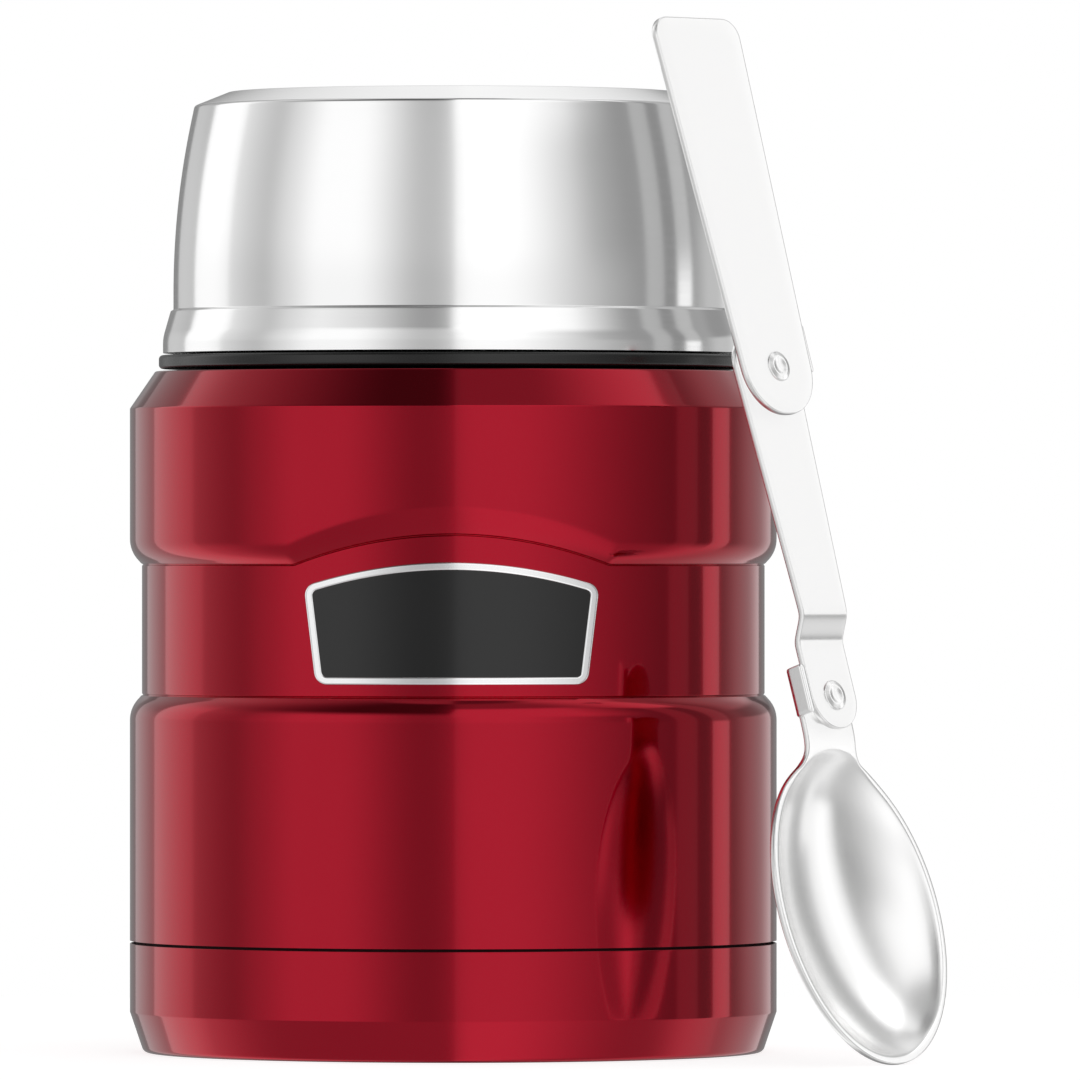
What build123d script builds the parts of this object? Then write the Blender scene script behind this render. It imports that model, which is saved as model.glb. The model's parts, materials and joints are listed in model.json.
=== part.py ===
from build123d import *
import os
from math import acos, atan2, cos, degrees, hypot, radians, sin, tan

# Insulated food jar: a steel vacuum jar, a screw stopper with a place for the spoon, a bowl that
# screws over the stopper as the lid, and a folding spoon of three riveted blades.
# Millimetres, +Z up, origin at the middle of the base, the badge faces -Y.

cut_room = 5.0            # how far a cut runs past what it opens

# ---- vacuum jar: walls and radii, from the mouth outwards ----
mouth_radius = 33.6       # the opening that food goes through
liner_wall = 0.6          # sheet of the inner vessel
neck_vacuum = 0.3         # gap between the two sheets in the neck
steel_wall = 0.8          # sheet of the outer shell
thread_height = 1.1       # how far the neck's thread stands out
thread_play = 0.4         # room between a thread's crest and what turns over it
skirt_wall = 1.4          # stopper's skirt
lid_thread_height = 1.0   # the stopper's outer thread, which takes the bowl
ring_play = 0.2
ring_wall = 0.7           # threaded ring inside the bowl's rim
ring_fit = 0.08
bowl_wall = 0.5           # both sheets of the bowl
rim_flare = 1.52          # the bowl's rim stands out this far from its side
flange_overhang = 0.6     # the stopper's flange stands out past the rim
shoulder_ledge = 0.5      # the shoulder's top edge stands out past the flange
shoulder_width = 3.7      # width of the sloping shoulder
waist_depth = 1.75        # how deep the waist is set in
jacket_gap = 3.35         # vacuum between the waist and the inner vessel

neck_radius = mouth_radius + liner_wall + neck_vacuum + steel_wall
skirt_inner = neck_radius + thread_height + thread_play
skirt_radius = skirt_inner + skirt_wall
ring_inner = skirt_radius + lid_thread_height + ring_play
ring_radius = ring_inner + ring_wall
bowl_radius = ring_radius + ring_fit + bowl_wall
rim_radius = bowl_radius + rim_flare
flange_radius = rim_radius + flange_overhang
shoulder_radius = flange_radius + shoulder_ledge
body_radius = shoulder_radius + shoulder_width
waist_radius = body_radius - waist_depth
vessel_radius = waist_radius - steel_wall - jacket_gap

# ---- vacuum jar: heights, from the ground upwards ----
cup_height = 15.6         # base cup, up to the seam
cup_chamfer_height = 5.9
cup_chamfer_width = 2.0
foot_width = 6.0          # ring that the jar stands on
foot_slope = 1.6          # the base inside the foot ring is set up by this much
seam_gap = 0.4
lower_band = 35.9         # from the seam to the waist
waist_height = 19.0
waist_ledge = 1.9         # height of the slope at each end of the waist
upper_band = 22.6         # from the waist to the shoulder
shoulder_height = 5.4
neck_height = 14.3
band_rounding = 3.0
lip_thickness = 0.8
lip_width = 0.3           # the lip stands out this far over the neck

shell_bottom = cup_height + seam_gap
waist_bottom = shell_bottom + lower_band
waist_top = waist_bottom + waist_height
shoulder_bottom = waist_top + upper_band
shoulder_top = shoulder_bottom + shoulder_height
neck_top = shoulder_top + neck_height
lip_top = neck_top + lip_thickness

# ---- base cup and the sealed space over it ----
sleeve_height = 2.4       # the cup's sleeve reaches this far up inside the shell
sleeve_wall = 0.8
sleeve_fit = 0.05
closure_height = 5.0      # underside of the shell's closing plate
closure_fit = 0.1
closure_rise = 5.0        # the closing plate's collar above the seam
vessel_floor_gap = 3.7    # from the closing plate's top to the inner vessel
vessel_corner = 8.0
vessel_shoulder_drop = 16.2   # the inner vessel starts to narrow this far below the neck's top
vessel_shoulder_height = 11.0
vessel_bend = 8.0
pump_hole_radius = 1.5
seal_radius = 5.5
seal_thickness = 0.8
getter_radius = 6.0
getter_thickness = 2.0
foil_thickness = 0.3
foil_gap = 0.1
foil_margin = 4.0         # the foil ends this far inside the straight part of the vessel

# ---- arch over the badge ----
arch_rise = 4.1           # the waist's upper edge is this much higher over the badge
arch_half_width = 23.0
arch_ledge = 2.9          # height of the slope along the arch
arch_overlap = 1.0        # the arch's cut starts this far below the waist's upper edge

# ---- badge plate ----
badge_top = 0.35          # crown of the badge above the waist's upper edge
badge_height = 17.5
badge_sag = 3.4           # the badge's shoulders are this much lower than its crown
badge_top_half = 21.1
badge_bottom_half = 19.4
badge_corner = 1.9
bezel_width = 1.15
bezel_thickness = 0.55
field_thickness = 0.35

# ---- stopper ----
flange_gap = 0.35         # between the flange and the shoulder
flange_thickness = 2.0
flange_edge = 0.6
drum_step = 0.8           # the drum over the skirt is this much slimmer
drum_bottom = 9.4         # over the flange's underside
drum_height = 22.3        # over the flange's underside
drum_edge = 0.8
deck_gap = 0.35           # between the jar's lip and the stopper's deck
plug_gap = 1.0            # between the plug and the mouth
plug_wall = 1.6
plug_depth = 14.1         # how deep the plug's side reaches below the deck
foam_room = 5.0
foam_play = 0.15
cover_thickness = 2.4
cover_spigot = 1.0
cover_chamfer = 1.0
gasket_height = 3.0
gasket_groove = 0.7
gasket_play = 0.05
gasket_squeeze_gap = 0.15     # left between the gasket and the mouth
recess_floor = 1.6        # over the foam room
recess_rim = 3.4          # wall left at each end of the spoon's recess
recess_width = 39.0
scoop_radius = 9.0        # finger scoop at the side of the recess
scoop_depth = 8.0

# ---- bowl that serves as the lid ----
rim_gap = 0.3             # between the flange and the rim
rim_height = 6.4          # the flared rim
rim_roll_height = 2.2     # the rim's side stands upright up to here, then curves in
rim_roll = 6.0
rim_step = 0.2            # small step where the rim meets the side
rim_step_rounding = 0.4
bowl_height = 37.9
bowl_top_inset = 3.06     # the side has come in by this much at the top edge
bowl_side_margin = 2.2    # straight part at each end of the curved side, which the inner sheets need
bevel_height = 2.0
bevel_width = 5.0
bevel_rounding = 0.7
flat_rounding = 1.0
bowl_air = 1.2            # air between the bowl's two sheets
ring_height = 7.0
ring_lift = 0.4           # from the rim's edge up to the ring
ring_foot = 1.4

# ---- folding spoon ----
spoon_yaw = 48.5          # the blades face this far round from -Y towards +X
spoon_lean = 17.5         # and lean back by this much
spoon_x = 63.3            # where the bowl's tip stands
spoon_y = -54.8
ground_gap = 0.3
blade = 1.0               # sheet thickness
washer = 1.0
blade_play = 0.05
joggle = 2.1              # the link steps back by this much
joggle_run = 3.3
joggle_from_rivet = 8.2
grip_length = 52.6        # from the rivet
grip_end_radius = 7.05
grip_half_width = 9.25
grip_corner = 3.0
link_length = 47.8        # rivet to rivet
link_top_radius = 6.5
link_half_width = 4.85
neck_half_width = 5.2
neck_length = 6.9         # flat part of the neck below the rivet
dish_half_length = 22.8
dish_half_width = 17.25
dish_centre = 30.4        # below the lower rivet
dish_depth = 7.5
dish_set_back = 2.2       # the dish's rim lies this far behind the neck
dish_curve = 4.5          # the dish is a cap of an ellipsoid whose middle is this far over its rim
dish_wall = 0.9
neck_flare = 4.0
neck_overlap = 4.0        # the neck runs this far into the dish
neck_ease = 3.0           # and reaches the rim's level this far inside it
rivet_shank = 1.3
rivet_hole_play = 0.05
rivet_head = 2.24
rivet_head_height = 0.65
rivet_dimple = 1.2
washer_radius = 3.4
tab = 1.0                 # thickness of the stop tabs
tab_below = 2.4
tab_above = 4.7
tab_height = 3.4
grip_tab_from = -0.5
grip_tab_to = 6.5
grip_tab_reach = 0.6      # the link's tab ends this far behind the grip's front face
tab_play = 0.55

grip_front = blade
link_front = -washer - blade_play
link_back = link_front - blade
link_low_front = link_front - joggle
link_low_back = link_low_front - blade
neck_front = link_low_back - blade_play - washer
neck_back = neck_front - blade
dish_rim = neck_front - dish_set_back
dish_middle = -link_length - dish_centre


def unit(vector):
    length = hypot(*vector)
    return tuple(c / length for c in vector)


def outline(points, inset=0.0):
    """A face beside the axis, from (radius, height, corner radius) points in anticlockwise order.

    Every side moves inwards by inset, apart from one that lies on the axis, so that two calls
    bound a sheet of even thickness. Rounded corners keep their centres."""
    count = len(points)
    sides = []
    for (r0, z0, _), (r1, z1, _) in zip(points, points[1:] + points[:1]):
        dr, dz = unit((r1 - r0, z1 - z0))
        shift = 0.0 if r0 == r1 == 0 else inset
        sides.append((r0 - dz * shift, z0 + dr * shift, dr, dz))
    ends = []
    for i in range(count):
        r0, z0, dr0, dz0 = sides[i - 1]
        r1, z1, dr1, dz1 = sides[i]
        turn = dr0 * dz1 - dz0 * dr1
        along = ((r1 - r0) * dz1 - (z1 - z0) * dr1) / turn
        corner = (r0 + dr0 * along, z0 + dz0 * along)
        radius = points[i][2]
        if radius > 0:
            radius = max(radius - inset if turn > 0 else radius + inset, 0.0)
        reach = radius * tan(abs(atan2(turn, dr0 * dr1 + dz0 * dz1)) / 2)
        start = (corner[0] - dr0 * reach, corner[1] - dz0 * reach)
        end = (corner[0] + dr1 * reach, corner[1] + dz1 * reach)
        side = 1 if turn > 0 else -1
        centre = (start[0] - dz0 * radius * side, start[1] + dr0 * radius * side)
        ends.append((corner, start, end, centre, radius))
    edges = []
    for i, (corner, start, end, centre, radius) in enumerate(ends):
        if radius > 0:
            cr, cz = unit((corner[0] - centre[0], corner[1] - centre[1]))
            middle = (centre[0] + cr * radius, centre[1] + cz * radius)
            edges.append(ThreePointArc(start, middle, end))
        edges.append(Line(end, ends[(i + 1) % count][1]))
    return Plane.XZ * make_face(edges)


def turned(points, inset=0.0):
    return revolve(outline(points, inset), Axis.Z)


def tube(inner, outer, bottom, top):
    """A plain ring about the jar's axis."""
    return turned([(inner, bottom, 0), (outer, bottom, 0), (outer, top, 0), (inner, top, 0)])


# ---- vacuum jar ----

def jar_form(inset=0.0, reach=0.0):
    """The jar's outer shape as a solid. reach carries it past its open ends."""
    points = [
        (0, shell_bottom - inset - reach, 0),
        (body_radius, shell_bottom - inset - reach, 0),
        (body_radius, waist_bottom - waist_ledge, band_rounding),
        (waist_radius, waist_bottom, 0),
        (waist_radius, waist_top, 0),
        (body_radius, waist_top + waist_ledge, band_rounding),
        (body_radius, shoulder_bottom, 0),
        (shoulder_radius, shoulder_top, 0),
        (neck_radius, shoulder_top, 0),
        (neck_radius, neck_top + inset + reach, 0),
        (0, neck_top + inset + reach, 0),
    ]
    return turned(points, inset) - arch_cut(inset)


def arch_cut(inset=0.0):
    """Carries the waist upwards in an arch over the badge.

    The arch's slope is part of a cone whose tip lies on the jar's axis. The cone leans back, so
    that it passes the arch's crown and its two feet, and runs out below the ledge beside them."""
    crown = waist_top + arch_rise
    tip = crown - waist_radius * arch_ledge / waist_depth
    foot_y = -((waist_radius ** 2 - arch_half_width ** 2) ** 0.5)
    to_crown = unit((0, -waist_radius, crown - tip))
    to_foot = unit((arch_half_width, foot_y, waist_top - tip))
    lean = atan2(to_crown[2] - to_foot[2], to_foot[1] - to_crown[1])
    half_angle = acos(to_crown[1] * sin(lean) + to_crown[2] * cos(lean))
    length = 2 * body_radius
    cone = Cone(0, length * tan(half_angle), length, align=(Align.CENTER, Align.CENTER, Align.MIN))
    lift = inset / sin(half_angle)
    cone = Pos(0, lift * sin(lean), tip + lift * cos(lean)) * Rot(X=-degrees(lean)) * cone
    zone = tube(waist_radius - inset, body_radius + cut_room, waist_top - arch_overlap, crown + cut_room)
    front = Pos(0, -body_radius, waist_top) * Box(4 * arch_half_width, body_radius, 4 * body_radius)
    return (zone & front) - cone


def make_outer_shell():
    return jar_form() - jar_form(steel_wall, cut_room)


def make_base_cup():
    """Cup over the jar's closed end, with a sleeve that slides up into the shell."""
    def form(inset=0.0, reach=0.0):
        seat = body_radius - cup_chamfer_width
        return turned([
            (0, foot_slope, 0),
            (seat - foot_width - foot_slope, foot_slope, 0),
            (seat - foot_width, 0, 0),
            (seat, 0, 1.0),
            (body_radius, cup_chamfer_height, 0.5),
            (body_radius, cup_height + reach, 0),
            (0, cup_height + reach, 0),
        ], inset)
    sleeve = body_radius - steel_wall - sleeve_fit
    sleeve_bottom = cup_height - sleeve_height
    above = cup_height + 2 * cut_room
    hollow = form(steel_wall, cut_room) - tube(sleeve - sleeve_wall, body_radius, sleeve_bottom, above)
    collar = tube(sleeve - sleeve_wall, sleeve, sleeve_bottom, cup_height + sleeve_height)
    return form() - hollow + collar


def make_closing_plate():
    """The shell's closing plate: a shallow pan with its collar in the shell."""
    collar = body_radius - steel_wall
    pan = collar - sleeve_fit - sleeve_wall - closure_fit
    flare = cup_height + sleeve_height + 1
    top = shell_bottom + closure_rise
    points = [
        (0, closure_height, 0),
        (pan, closure_height, 3.0),
        (pan, flare, 0.5),
        (collar, flare + collar - pan, 0.5),
        (collar, top, 0),
        (0, top, 0),
    ]
    open_points = points[:-2] + [(collar, top + cut_room, 0), (0, top + cut_room, 0)]
    plate = turned(points) - turned(open_points, steel_wall)
    return plate - tube(0, pump_hole_radius, closure_height - cut_room, closure_height + cut_room)


def vessel_form(inset=0.0, reach=0.0):
    """The inner vessel's outer shape as a solid: straight sides, then an S-curve into the neck."""
    bottom = closure_height + steel_wall + vessel_floor_gap
    mouth = mouth_radius + liner_wall
    narrowing = neck_top - vessel_shoulder_drop - vessel_shoulder_height
    width = vessel_radius - mouth
    middle = narrowing + vessel_shoulder_height / 2
    points = [
        (0, bottom, 0),
        (vessel_radius, bottom, vessel_corner),
        (vessel_radius, middle - width / 2, vessel_bend),
        (mouth, middle + width / 2, vessel_bend),
        (mouth, neck_top + reach + inset, 0),
        (0, neck_top + reach + inset, 0),
    ]
    return turned(points, inset)


def make_inner_vessel():
    """Liner of the jar, turned over the neck at its lip."""
    mouth = mouth_radius
    lip = turned([
        (mouth, neck_top - 1, 0),
        (mouth + liner_wall, neck_top - 1, 0),
        (mouth + liner_wall, neck_top, 0),
        (neck_radius + lip_width, neck_top, 0),
        (neck_radius + lip_width, lip_top, lip_thickness / 2),
        (mouth, lip_top, lip_thickness / 2),
    ])
    return vessel_form() - vessel_form(liner_wall, cut_room) + lip


def make_radiation_foil():
    """Foil wrapped round the inner vessel, in the vacuum."""
    bottom = closure_height + steel_wall + vessel_floor_gap + vessel_corner + foil_margin
    top = neck_top - vessel_shoulder_drop - vessel_shoulder_height - foil_margin
    inner = vessel_radius + foil_gap
    return tube(inner, inner + foil_thickness, bottom, top)


def make_pump_seal():
    """Solder that closes the hole through which the jacket was pumped out."""
    plug = tube(0, pump_hole_radius, closure_height - seal_thickness, closure_height + steel_wall)
    return plug + tube(0, seal_radius, closure_height - seal_thickness, closure_height)


def make_getter():
    """Pellet that keeps the vacuum, on the closing plate beside the pump hole."""
    z = closure_height + steel_wall
    side = pump_hole_radius + getter_radius + 3
    pellet = Cylinder(getter_radius, getter_thickness, align=(Align.CENTER, Align.CENTER, Align.MIN))
    return Pos(side, 0, z) * fillet(pellet.edges().group_by(Axis.Z)[-1], 0.5)


# ---- badge ----

def badge_face(inset=0.0):
    """The badge seen from the front: an arched top, sides that draw in, rounded corners."""
    crown = waist_top + badge_top
    shoulder = crown - badge_sag
    bottom = crown - badge_height
    face = make_face([
        ThreePointArc((badge_top_half, shoulder), (0, crown), (-badge_top_half, shoulder)),
        Line((-badge_top_half, shoulder), (-badge_bottom_half, bottom)),
        Line((-badge_bottom_half, bottom), (badge_bottom_half, bottom)),
        Line((badge_bottom_half, bottom), (badge_top_half, shoulder)),
    ])
    face = fillet(face.vertices(), badge_corner)
    return offset(face, amount=-inset) if inset else face


def on_waist(face, thickness):
    """A plate of the face's outline, bent round the front of the waist."""
    band = tube(waist_radius, waist_radius + thickness, waist_bottom, waist_top + arch_rise)
    return extrude(Plane.XZ * face, body_radius) & band


def make_badge_bezel():
    return on_waist(badge_face() - badge_face(bezel_width), bezel_thickness)


def make_badge_field():
    return on_waist(badge_face(bezel_width), field_thickness)


# ---- stopper ----

flange_bottom = shoulder_top + flange_gap
flange_top = flange_bottom + flange_thickness
deck = lip_top + deck_gap
plug_radius = mouth_radius - plug_gap
plug_bottom = deck - plug_depth
groove_radius = plug_radius - gasket_groove
foam_radius = plug_radius - plug_wall - foam_play
foam_top = plug_bottom + foam_room
drum_radius = skirt_radius - drum_step
drum_top = flange_bottom + drum_height
recess_bottom = foam_top + recess_floor
recess_half_length = drum_radius - recess_rim


def spoon_recess():
    """Room in the drum's top for the folded spoon, with a finger scoop."""
    depth = drum_top - recess_bottom
    slot = SlotOverall(2 * recess_half_length, recess_width)
    room = Pos(0, 0, recess_bottom) * extrude(slot, depth + 5)
    room = fillet(room.edges().group_by(Axis.Z)[0], 2.0)
    scoop = Pos(0, recess_width / 2, drum_top - scoop_depth) * Cylinder(
        scoop_radius, scoop_depth + 5, align=(Align.CENTER, Align.CENTER, Align.MIN))
    return room + scoop


def make_stopper_body():
    """Flange, threaded skirt, deck and plug wall in one moulding."""
    outside = turned([
        (0, plug_bottom, 0),
        (groove_radius, plug_bottom, 0),
        (groove_radius, plug_bottom + gasket_height + 2 * gasket_play, 0),
        (plug_radius, plug_bottom + gasket_height + 2 * gasket_play, 0),
        (plug_radius, deck, 1.0),
        (skirt_inner, deck, 1.0),
        (skirt_inner, flange_bottom, 0.6),
        (flange_radius, flange_bottom, flange_edge),
        (flange_radius, flange_top, flange_edge),
        (skirt_radius, flange_top, 0.3),
        (skirt_radius, flange_bottom + drum_bottom, 0.3),
        (drum_radius, flange_bottom + drum_bottom + drum_step, 0.3),
        (drum_radius, drum_top, drum_edge),
        (0, drum_top, 0),
    ])
    foam_side = plug_radius - plug_wall
    return outside - spoon_recess() - tube(0, foam_side, plug_bottom - 1, foam_top)


def make_stopper_foam():
    """Disc of insulation shut inside the plug."""
    bottom = plug_bottom + cover_spigot + foam_play
    return tube(0, foam_radius, bottom, foam_top - foam_play)


def make_plug_cover():
    """Cap welded under the plug, which also holds the gasket."""
    edge = plug_radius
    return turned([
        (0, plug_bottom - cover_thickness, 0),
        (edge, plug_bottom - cover_thickness, cover_chamfer),
        (edge, plug_bottom, 0.3),
        (foam_radius, plug_bottom, 0),
        (foam_radius, plug_bottom + cover_spigot, 0.3),
        (0, plug_bottom + cover_spigot, 0),
    ])


def make_gasket():
    """Silicone ring with two lips, in the groove round the plug."""
    inner = groove_radius + gasket_play
    outer = mouth_radius - gasket_squeeze_gap
    bottom = plug_bottom + gasket_play
    lip = gasket_height / 3
    return turned([
        (inner, bottom, 0),
        (outer, bottom, 0.3),
        (outer, bottom + lip, 0.3),
        (plug_radius, bottom + lip * 1.2, 0.1),
        (plug_radius, bottom + lip * 1.8, 0.1),
        (outer, bottom + lip * 2, 0.3),
        (outer, bottom + gasket_height, 0.3),
        (inner, bottom + gasket_height, 0),
    ])


# ---- bowl that serves as the lid ----

rim_bottom = flange_top + rim_gap
bowl_top = rim_bottom + bowl_height
top_edge_radius = bowl_radius - bowl_top_inset
side_top = bowl_top - bevel_height
side_bottom = rim_bottom + rim_height + rim_step
side_height = side_top - side_bottom
lean = (bowl_top_inset ** 2 + side_height ** 2) / (2 * side_height)
side_angle = atan2(bowl_top_inset, side_height - lean)
side_rounding = (lean - bowl_side_margin) / tan(side_angle / 2)


def bowl_top_points():
    """The bowl's shape over its rim: a side that curves in, a bevel and a flat top."""
    return [
        (bowl_radius, side_bottom + lean, side_rounding),
        (top_edge_radius, side_top, bevel_rounding),
        (top_edge_radius - bevel_width, bowl_top, flat_rounding),
        (0, bowl_top, 0),
    ]


def make_bowl_shell():
    """Outer sheet of the bowl, upside down as it sits on the jar."""
    def form(inset=0.0, reach=0.0):
        return turned([
            (0, rim_bottom - reach, 0),
            (rim_radius, rim_bottom - reach, 0),
            (rim_radius, rim_bottom + rim_roll_height, rim_roll),
            (bowl_radius + 2 * rim_step, rim_bottom + rim_height, rim_step_rounding),
            (bowl_radius, side_bottom, 0),
        ] + bowl_top_points(), inset)
    return form() - form(bowl_wall, cut_room)


def make_bowl_liner():
    """Inner sheet of the bowl, which touches the food."""
    foot = rim_bottom + ring_lift + ring_height
    side = [(0, foot - cut_room, 0), (bowl_radius, foot - cut_room, 0)] + bowl_top_points()
    liner = turned(side, bowl_wall + bowl_air) - turned(side, 2 * bowl_wall + bowl_air)
    liner &= tube(0, bowl_radius, foot, bowl_top)
    inner = bowl_radius - 2 * bowl_wall - bowl_air
    return liner + tube(inner, ring_radius, foot, foot + bowl_wall)


def make_bowl_ring():
    """Plastic ring inside the rim, which carries the bowl's thread."""
    bottom = rim_bottom + ring_lift
    foot = rim_radius - bowl_wall - ring_fit
    ring = tube(ring_inner, ring_radius, bottom, bottom + ring_height)
    return ring + tube(ring_inner, foot, bottom, bottom + ring_foot)


# ---- folding spoon, laid out on the grip's back: X across, Y along, Z towards the front ----

def sheet(path, width):
    """A sheet bent along a (Y, Z) path of its front face, as wide as asked."""
    back = [(y, z - blade) for y, z in reversed(path)]
    points = path + back
    profile = Plane.YZ * make_face(Polyline(*points, close=True))
    return extrude(profile, width, both=True)


def punched(face, bottom, top):
    """The solid that a blank of this outline fills between two heights."""
    return Pos(0, 0, bottom) * extrude(face, top - bottom)


def rivet_hole(y):
    return Pos(0, y, 0) * Cylinder(rivet_shank + rivet_hole_play, 2 * (grip_front - dish_rim + cut_room))


def make_spoon_grip():
    blank = make_face([
        ThreePointArc((-grip_end_radius, 0), (0, -grip_end_radius), (grip_end_radius, 0)),
        Line((grip_end_radius, 0), (grip_half_width, grip_length)),
        Line((grip_half_width, grip_length), (-grip_half_width, grip_length)),
        Line((-grip_half_width, grip_length), (-grip_end_radius, 0)),
    ])
    blank = fillet(blank.vertices().group_by(Axis.Y)[-1], grip_corner)
    return punched(blank, 0, grip_front) - rivet_hole(0)


def make_spoon_link():
    """Middle blade: it steps back so that it lies in front of the neck, and has a stop tab."""
    step = -link_length + joggle_from_rivet
    ease = step + joggle_run
    blank = make_face([
        ThreePointArc((link_top_radius, 0), (0, link_top_radius), (-link_top_radius, 0)),
        Line((-link_top_radius, 0), (-link_half_width, ease)),
        Line((-link_half_width, ease), (-link_half_width, -link_length)),
        ThreePointArc((-link_half_width, -link_length), (0, -link_length - link_half_width),
                      (link_half_width, -link_length)),
        Line((link_half_width, -link_length), (link_half_width, ease)),
        Line((link_half_width, ease), (link_top_radius, 0)),
    ])
    path = [(2 * link_top_radius, link_front), (ease, link_front), (step, link_low_front),
            (-link_length - 2 * link_half_width, link_low_front)]
    link = sheet(path, link_top_radius * 2) & punched(blank, link_low_back - 1, link_front + 1)
    inner = grip_end_radius + tab_play
    length = grip_tab_to - grip_tab_from
    foot = Pos(link_top_radius / 2, grip_tab_from, link_back) * Box(
        inner + tab - link_top_radius / 2, length, blade, align=Align.MIN)
    stop = Pos(inner, grip_tab_from, link_back) * Box(
        tab, length, grip_front - grip_tab_reach - link_back, align=Align.MIN)
    return link + foot + stop - rivet_hole(0) - rivet_hole(-link_length)


def dish(inset=0.0):
    """The ellipsoid that the spoon's dish is a cap of."""
    depth = dish_depth + dish_curve
    share = (1 - (dish_curve / depth) ** 2) ** 0.5
    size = (dish_half_width / share - inset, dish_half_length / share - inset, depth - inset)
    return Pos(0, dish_middle, dish_rim + dish_curve) * scale(Sphere(1), by=size)


def make_spoon_bowl():
    """Dish and neck, with the tab that stops the link."""
    under = Pos(0, dish_middle, dish_rim) * Box(
        3 * dish_half_width, 3 * dish_half_length, 3 * dish_depth,
        align=(Align.CENTER, Align.CENTER, Align.MAX))
    flat_end = -link_length - neck_length
    dish_end = dish_middle + dish_half_length
    neck_end = dish_end - neck_overlap
    top = -link_length
    neck = make_face([
        ThreePointArc((neck_half_width, top), (0, top + neck_half_width), (-neck_half_width, top)),
        Line((-neck_half_width, top), (-neck_half_width, neck_end)),
        Line((-neck_half_width, neck_end), (neck_half_width, neck_end)),
        Line((neck_half_width, neck_end), (neck_half_width, top)),
    ])
    rim = Pos(0, dish_middle) * Ellipse(dish_half_width, dish_half_length)
    blank = neck + rim
    corners = [v for v in blank.vertices() if neck_end < v.Y < dish_end]
    blank = fillet(corners, neck_flare)
    path = [(top + 2 * neck_half_width, neck_front), (flat_end, neck_front),
            (dish_end - neck_ease, dish_rim), (neck_end - cut_room, dish_rim)]
    arm = sheet(path, dish_half_width) & punched(blank, dish_rim - cut_room, neck_front + cut_room)
    stop = Pos(-neck_half_width - tab, -link_length - tab_below, neck_back) * Box(
        tab + blade_play, tab_below + tab_above, tab_height, align=Align.MIN)
    bowl = (dish() & under) + arm + stop - dish(dish_wall)
    return bowl - rivet_hole(-link_length)


def rivet(back, front):
    """A rivet between two faces, with rounded heads and a dimple in the front one."""
    shape = turned([
        (0, back - rivet_head_height, 0),
        (rivet_head, back - rivet_head_height, 0.4),
        (rivet_head, back, 0),
        (rivet_shank, back, 0),
        (rivet_shank, front, 0),
        (rivet_head, front, 0),
        (rivet_head, front + rivet_head_height, 0.4),
        (rivet_dimple, front + rivet_head_height, 0.2),
        (0, front + rivet_head_height / 3, 0),
    ])
    return shape


def make_washer(front):
    hole = rivet_shank + rivet_hole_play
    return tube(hole, washer_radius, front - washer, front)


def spoon_place():
    """Where the grip's back lies: the spoon leans back and its tip stands just over the ground."""
    yaw, lean = radians(spoon_yaw), radians(spoon_lean)
    normal = Vector(sin(yaw) * cos(lean), -cos(yaw) * cos(lean), sin(lean))
    across = Vector(cos(yaw), sin(yaw), 0)
    along = normal.cross(across)
    tip = along * (dish_middle - dish_half_length) + normal * dish_rim
    return Plane(Vector(spoon_x, spoon_y, ground_gap) - tip, x_dir=across, z_dir=normal)


def build_jar():
    return {
        "outer_shell": make_outer_shell(),
        "base_cup": make_base_cup(),
        "closing_plate": make_closing_plate(),
        "inner_vessel": make_inner_vessel(),
        "radiation_foil": make_radiation_foil(),
        "pump_seal": make_pump_seal(),
        "getter": make_getter(),
        "badge_bezel": make_badge_bezel(),
        "badge_field": make_badge_field(),
    }


def build_closures():
    return {
        "stopper_body": make_stopper_body(),
        "stopper_foam": make_stopper_foam(),
        "plug_cover": make_plug_cover(),
        "stopper_gasket": make_gasket(),
        "bowl_shell": make_bowl_shell(),
        "bowl_liner": make_bowl_liner(),
        "bowl_ring": make_bowl_ring(),
    }


def build_spoon():
    place = spoon_place()
    lower = Pos(0, -link_length, 0)
    pieces = {
        "spoon_grip": make_spoon_grip(),
        "spoon_link": make_spoon_link(),
        "spoon_bowl": make_spoon_bowl(),
        "grip_rivet": rivet(link_back - blade_play, grip_front),
        "grip_washer": make_washer(0),
        "bowl_rivet": lower * rivet(neck_back, link_low_front + blade_play),
        "bowl_washer": lower * make_washer(neck_front + washer),
    }
    return {name: place * shape for name, shape in pieces.items()}


def main():
    os.makedirs("parts", exist_ok=True)
    pieces = {**build_jar(), **build_closures(), **build_spoon()}
    for name, shape in pieces.items():
        export_step(shape, f"parts/{name}.step")
        print(f"{name}: {shape.volume:.1f} mm3, {len(shape.solids())} solid(s)")
    place = spoon_place()
    print("upper rivet", place.origin, "lower rivet", place.from_local_coords((0, -link_length, 0)))
    print("spoon normal", place.z_dir)


main()
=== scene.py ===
# Insulated food jar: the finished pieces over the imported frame.
# Shapes are worked out in millimetres and put into the meshes in metres. +Z up, the badge faces -Y.
import json
import math

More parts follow.
